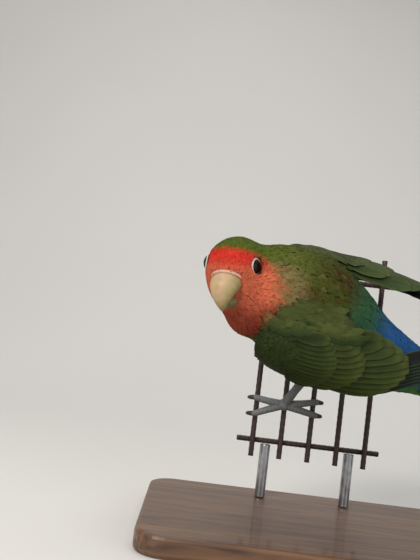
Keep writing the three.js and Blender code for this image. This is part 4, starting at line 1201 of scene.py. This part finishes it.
def billPiece(name, stations, upper, node):
    rows = smoothCurve(stations, billShape["rings"])
    sides = billShape["sides"]
    angle = np.linspace(0, 2 * np.pi, sides, endpoint=False)
    place = np.linspace(0, 1, len(rows))
    pp, aa = np.meshgrid(place, angle, indexing="ij")
    x, z, w, h, tilt = (rows[:, k][:, None] for k in range(5))
    ridge = 1 + (0.05 * np.exp(-((aa - np.pi / 2) / 0.3) ** 2) if upper else 0) * (1 - pp)
    side = w * np.cos(aa)
    rise = h * np.sin(aa) * ridge
    tilt = np.radians(tilt)
    verts = head.at(x + rise * np.sin(tilt), side, z + rise * np.cos(tilt)).reshape(-1, 3)
    place, around = pp.ravel(), aa.ravel()
    tint = mix(billShape["baseTone"], billShape["upperTone"], step(place, 0.1, 0.35)[:, None])
    tint = mix(tint, billShape["tipTone"], step(place, 0.5, 0.92)[:, None])
    # One side of the bill and its underside are painted in a darker, greener tone: painted shade
    tint = mix(tint, billShape["shadedSideTone"], (0.7 * step(np.cos(around), 0.1, 0.9))[:, None])
    shadedUnderside = step(-np.sin(around), -0.25, 0.35)
    tint = mix(tint, billShape["shadedSideTone"] * 0.8, (0.75 * shadedUnderside)[:, None])
    tint = tint * (1 + 0.035 * np.sin(place * 60 + 1.5 * np.sin(around * 2)))[:, None]
    # The lower bill is darkened to 0.62: painted shade under the upper bill
    if not upper:
        tint = tint * 0.62
    uv = np.stack([around / (2 * np.pi), place], -1)
    onePart(name, verts, shellFaces(len(rows), sides), uv, tint, materials["horn"], "bill_horn", node)


billPiece("bill_upper_horn", upperStations, True, "bill_upper")
billPiece("bill_lower_horn", lowerStations, False, "bill_lower")

cere = {"half": [[11.8, 1.9, 1.4], [10.5, 4.5, 0.2], [8.8, 5.6, -1.8]], "nostril": (12.45, 2.2, 2.0),
        "radii": [0.3, 0.46, 0.6, 0.6, 0.46, 0.3], "tone": shade(190, 152, 132), "hole": shade(58, 34, 28)}
cereArc = [head.at(x, -y, z) for x, y, z in cere["half"][::-1]] + [head.at(*p) for p in cere["half"]]


def cereRipple(place, around, direction):
    return 1 + 0.06 * np.sin(place * 22) * np.cos(around * 3)


verts, faces, uv, place = tubeArrays(cereArc, cere["radii"], 28, 60, cereRipple)
x, y, z = cere["nostril"]
holeDepth = np.minimum(*[np.linalg.norm(verts - head.at(x, sign * y, z), axis=1) for sign in (1, -1)])
inward = unit(head.at(8, 0, 0) - verts)
verts = verts + inward * (0.5 * step(-holeDepth, -0.55, -0.2))[:, None]
# The nostrils are painted near black as well as pressed in: painted shade in the holes
cereTone = mix(cere["tone"], cere["hole"], step(-holeDepth, -0.5, -0.28)[:, None])
onePart("cere_band", verts, faces, uv, cereTone, materials["cere"], "cere_skin", "cere")


def ballArrays(centre, axes, radius, sides=40, rings=24):
    polar = np.linspace(0.02, np.pi - 0.02, rings)
    angle = np.linspace(0, 2 * np.pi, sides, endpoint=False)
    pp, aa = np.meshgrid(polar, angle, indexing="ij")
    local = np.stack([np.cos(pp), np.sin(pp) * np.cos(aa), np.sin(pp) * np.sin(aa)], -1).reshape(-1, 3)
    verts = centre + radius * local @ axes.rows
    uv = np.stack([aa / (2 * np.pi), pp / np.pi], -1).reshape(-1, 2)
    return verts, shellFaces(rings, sides), uv, pp.ravel()


def beads(place, around, direction):
    return 1 + 0.14 * np.sin(place * 2 * np.pi * 26)


# Radius beyond the rim, distance out from the eye's centre and tone of the two rings of bare lid
lidRings = ((-0.08, 2.15, 1.0), (0.14, 2.0, 0.75))
irisTones = {"pupil": shade(9, 7, 6), "iris": shade(40, 23, 15), "outer": shade(12, 9, 8)}
for side, sign in (("left", 1), ("right", -1)):
    axes = Axes(eyeCentres[side], eyeAxes[side], head.up)
    verts, faces, uv, polar = ballArrays(eyeCentres[side], axes, eyes["radius"])
    iris = mix(irisTones["pupil"], irisTones["iris"], step(polar, 0.40, 0.47)[:, None])
    iris = mix(iris, irisTones["outer"], step(polar, 0.66, 0.78)[:, None])
    onePart("eyeball_" + side, verts, faces, uv, iris, materials["eye"], "eye_gloss", "eye_" + side)
    bundle = Bundle()
    for k, (wider, lifted, tone) in enumerate(lidRings):
        radius = eyes["rim"] + wider
        ring = eyeCentres[side] + eyeAxes[side] * lifted
        line = [ring + axes.left * radius * np.cos(a) + axes.up * sign * radius * np.sin(a)
                for a in np.linspace(0, 2 * np.pi, 41)]
        verts, faces, uv, place = tubeArrays(line, [0.17] * 41, 12, 200, beads)
        bundle.add(verts, faces, uv, tones["bare"] * tone, (0.5 * k, 0, 0.48, 1))
    bundle.finish("lids_" + side, materials["cere"], "cere_skin")


# Legs: shanks and toes with cross scutes above and small scales below, then claws
print("scene: legs")
legPlan = {"tone": shade(102, 103, 103), "grooveTone": shade(66, 67, 70), "clawTone": shade(44, 41, 40),
           "scutes": 0.9, "pad": 2.3, "toeRadii": [1.65, 1.35, 1.15, 0.7],
           "shankRadii": [1.9, 1.55, 1.85, 1.75], "clawRadii": [0.55, 0.98, 0.75, 0.5, 0.12]}
# Each toe's wire, the way round it and how far it climbs
toes = [("front_outer", 0, -1, -4.8), ("front_inner", 0, -1, 1.4), ("back_outer", 1, 1, -2.8),
        ("back_inner", 1, 1, 2.4)]
clawLine = ((-0.2, 0, 0.1), (0.6, 0.1, 0), (1.9, 1.1, -0.2), (2.0, 3.1, -0.5), (1.0, 4.5, -0.8))
wireRadius = 1.05
toeY = -(wireRadius + 0.3 + 1.3)


def scuteTube(points, radii, bundle, cell):
    length = np.linalg.norm(np.diff(smoothCurve(points, 30), axis=0), axis=1).sum()
    number = length / legPlan["scutes"]

    def ripple(place, around, direction):
        outer = step(-direction[..., 1], -0.1, 0.5)
        scute = outer * (0.09 * ((place * number) % 1) - 0.03)
        return 1 + scute + (1 - outer) * 0.04 * np.sin(place * number * 9) * np.sin(around * 5)

    verts, faces, uv, place = tubeArrays(points, radii, 24, int(max(number * 8, 24)), ripple)
    groove = step(-((place * number) % 1), -0.22, -0.02)
    tint = mix(legPlan["tone"], legPlan["grooveTone"], (0.7 * groove)[:, None])
    bundle.add(verts, faces, uv, tint, cell)


for side, leg in legs.items():
    pad, ankle = np.array(leg["pad"]), np.array(leg["ankle"])
    bundle = Bundle()
    verts, faces, uv, polar = ballArrays(pad, Axes(pad, [0, 1, 0], [1, 0, 0]), legPlan["pad"], 32, 20)
    bundle.add(verts, faces, uv, legPlan["tone"], (0, 0, 0.5, 0.5))
    for k, (name, wire, away, rise) in enumerate(toes):
        end = np.array([leg["wires"][wire] + away * 1.2, toeY + 0.15, pad[2] + rise])
        line = [pad + [0, 0.2, 0], mix(pad, end, 0.5) + [0, -0.7, 0], end, end + [away * 0.5, 0.1, -0.05]]
        scuteTube(line, legPlan["toeRadii"], bundle, (0.5 * (k % 2), 0.5 + 0.25 * (k // 2), 0.48, 0.24))
        line = [end + [away * x, y, z] for x, y, z in clawLine]
        verts, faces, uv, place = tubeArrays(line, legPlan["clawRadii"], 20, 30)
        clawTint = mix(legPlan["clawTone"] * 1.5, legPlan["clawTone"], step(place, 0.2, 0.6)[:, None])
        onePart("claw_horn_" + side + "_" + name, verts, faces, uv, clawTint, materials["claw"], "claw_horn",
                "claw_" + side + "_" + name)
    bundle.finish("toes_" + side, materials["leg"], "leg_scales", "foot_" + side)
    bundle = Bundle()
    line = [pad, mix(pad, ankle, 0.5), ankle, ankle + (ankle - pad) * 0.12]
    scuteTube(line, legPlan["shankRadii"], bundle, (0, 0, 1, 1))
    bundle.finish("shank_scales_" + side, materials["leg"], "leg_scales", "shank_" + side)


# Perch wires, base and rods
print("scene: perch and stand")


wirePlan = {"pitch": 11, "first": 24, "count": 5, "top": 16, "bottom": -66, "upper": 6, "lower": -60,
            "overhang": 6, "crossY": 2.4}
standPlan = {"x": 50, "y": -24, "width": 128, "depth": 84, "corner": 10, "bottom": -89,
             "profile": ((0, 1.2), (0.35, 0.35), (1.2, 0), (5.8, 0), (6.65, 0.35), (7, 1.2)),
             "rods": (29.5, 62.5), "rodRadius": 2.0, "rodFoot": -81.7, "rodTop": -61.35}
wireMaterial = rampMaterial("wireLacquer", shade(66, 50, 44) * 0.55, shade(66, 50, 44), {
    "noise": {"Scale": 900, "Detail": 6.0}, "stops": (0.3, 0.72), "bump": 0.5, "bumpDepth": 0.0003,
    "roughness": 0.42, "metallic": 0.35})
rodMaterial = rampMaterial("rodSteel", shade(176, 178, 182) * 0.55, shade(176, 178, 182), {
    "noise": {"Scale": 300, "Detail": 6.0}, "stops": (0.3, 0.72), "bump": 0.03, "bumpDepth": 0.0003,
    "roughness": 0.3, "metallic": 0.95})
woodMaterial = rampMaterial("baseWood", shade(62, 42, 30), shade(112, 80, 56), {
    "noise": {"Scale": 1.6, "Detail": 8.0, "Distortion": 1.2}, "stretch": (14, 160, 160),
    "stops": (0.32, 0.7), "bump": 0.08, "bumpDepth": 0.0004, "roughness": 0.45, "coat": 0.15})


def hammered(place, around, direction):
    twist = np.sin(around * 2 + place * 190) * 0.035
    dents = np.sin(place * 410 + np.sin(around * 3) * 2) * np.sin(around + place * 57) * 0.035
    return 0.97 + twist + dents


def straightRod(name, a, b, radius, material, slot, node, ripple=None, rings=60):
    points = [mix(np.array(a, float), np.array(b, float), t) for t in (0, 1 / 3, 2 / 3, 1)]
    verts, faces, uv, place = tubeArrays(points, [radius] * 4, 24, rings, ripple)
    own(meshPiece(name, verts, faces, material, uv=uv), slot, node)


for i in range(wirePlan["count"]):
    x = wirePlan["first"] + i * wirePlan["pitch"]
    straightRod("wire_rough_" + str(i + 1), (x, 0, wirePlan["bottom"]), (x, 0, wirePlan["top"]), wireRadius,
                wireMaterial, "perch_wire", "wire_" + str(i + 1), hammered, 240)
firstX = wirePlan["first"] - wirePlan["overhang"]
lastX = wirePlan["first"] + (wirePlan["count"] - 1) * wirePlan["pitch"] + wirePlan["overhang"]
y = wirePlan["crossY"]
for name in ("upper", "lower"):
    z = wirePlan[name]
    straightRod("cross_rough_" + name, (firstX, y, z), (lastX, y, z), wireRadius, wireMaterial, "perch_wire",
                "cross_wire_" + name, hammered, 200)
for i, x in enumerate(standPlan["rods"]):
    straightRod("rod_steel_" + str(i + 1), (x, y, standPlan["rodFoot"]), (x, y, standPlan["rodTop"]),
                standPlan["rodRadius"], rodMaterial, "stand_metal", "stand_rod_" + str(i + 1))


# A round-cornered plate with softened edges, as rings from the bottom up
def plateArrays(plan):
    rows = []
    for z, inset in plan["profile"]:
        for cx, cy, start in ((1, 1, 0), (-1, 1, 90), (-1, -1, 180), (1, -1, 270)):
            for t in np.radians(np.linspace(start, start + 90, 9)):
                r = plan["corner"] - inset
                rows.append([plan["x"] + cx * (plan["width"] / 2 - plan["corner"]) + r * math.cos(t),
                             plan["y"] + cy * (plan["depth"] / 2 - plan["corner"]) + r * math.sin(t),
                             plan["bottom"] + z])
    verts = np.array(rows)
    low = [plan["x"] - plan["width"] / 2, plan["y"] - plan["depth"] / 2]
    faces = facingOut(verts, shellFaces(len(plan["profile"]), 36))
    return verts, faces, (verts[:, :2] - low) / plan["width"]


verts, faces, uv = plateArrays(standPlan)
base = meshPiece("base_wood", verts, faces, woodMaterial, uv=uv)
base.data.shade_flat()
own(base, "stand_wood", "stand_base")

# Pale sweep, soft lights and the camera
print("scene: stage")
stagePlan = {"near": -1.4, "far": 0.75, "radius": 0.5, "height": 2.2, "half": 2.4}
bendFrom = stagePlan["far"] - stagePlan["radius"]
profile = [(stagePlan["near"], 0.0), (0.2, 0.0), (bendFrom, 0.0)]
for t in np.linspace(0, math.pi / 2, 16)[1:]:
    profile.append((bendFrom + stagePlan["radius"] * math.sin(t), stagePlan["radius"] * (1 - math.cos(t))))
profile.append((stagePlan["far"], stagePlan["height"]))
sweepVerts = [(x, y, z) for y, z in profile for x in (-stagePlan["half"], stagePlan["half"])]
sweepFaces = [(2 * i, 2 * i + 1, 2 * i + 3, 2 * i + 2) for i in range(len(profile) - 1)]
sweepMesh = bpy.data.meshes.new("sweep")
sweepMesh.from_pydata(sweepVerts, [], sweepFaces)
sweepMesh.polygons.foreach_set("use_smooth", [True] * len(sweepFaces))
sweep = bpy.data.objects.new("sweep", sweepMesh)
bpy.context.scene.collection.objects.link(sweep)
sweepMesh.materials.append(rampMaterial("paleSweep", (0.60, 0.585, 0.56), (0.66, 0.645, 0.62), {
    "noise": {"Scale": 3.0, "Detail": 3.0}, "roughness": 0.9}))

world = bpy.data.worlds.new("softRoom")
bpy.context.scene.world = world
world.use_nodes = True
sky = world.node_tree.nodes["Background"]
sky.inputs["Color"].default_value = (0.95, 0.97, 1.0, 1)
sky.inputs["Strength"].default_value = 0.36
lamps = [
    {"name": "key", "at": (-0.42, -0.62, 0.52), "size": 0.26, "power": 6.2, "tone": (1.0, 0.97, 0.92)},
    {"name": "fill", "at": (0.62, -0.55, 0.22), "size": 0.6, "power": 2.2, "tone": (0.95, 0.97, 1.0)},
    {"name": "glint", "at": (-0.30, -0.62, 0.34), "size": 0.025, "power": 0.16, "tone": (1.0, 1.0, 1.0)},
    {"name": "top", "at": (0.05, 0.15, 0.75), "size": 0.7, "power": 2.6, "tone": (1.0, 0.99, 0.96)},
]
target = Vector((-0.01, -0.005, 0.08))
for lamp in lamps:
    data = bpy.data.lights.new(lamp["name"], "AREA")
    data.size = lamp["size"]
    data.energy = lamp["power"]
    data.color = lamp["tone"]
    light = bpy.data.objects.new(lamp["name"], data)
    light.location = lamp["at"]
    light.rotation_euler = (target - light.location).to_track_quat("-Z", "Y").to_euler()
    bpy.context.scene.collection.objects.link(light)

view = {"at": (-0.050, -0.266, 0.0713), "pitch": 3.5, "roll": 7, "lens": 47.25}
pitch, roll = math.radians(view["pitch"]), math.radians(view["roll"])
ahead = Vector((0, math.cos(pitch), math.sin(pitch)))
flatRight = Vector((1, 0, 0))
flatUp = flatRight.cross(ahead)
right = flatRight * math.cos(roll) + flatUp * math.sin(roll)
up = flatUp * math.cos(roll) - flatRight * math.sin(roll)
cameraData = bpy.data.cameras.new("camera")
cameraData.sensor_fit = "VERTICAL"
cameraData.sensor_height = 36
cameraData.lens = view["lens"]
cameraData.clip_start = 0.01
camera = bpy.data.objects.new("camera", cameraData)
camera.matrix_world = Matrix.Translation(view["at"]) @ Matrix((right, up, -ahead)).transposed().to_4x4()
bpy.context.scene.collection.objects.link(camera)
bpy.context.scene.camera = camera
bpy.context.scene.view_settings.view_transform = "Standard"

print("scene: done")
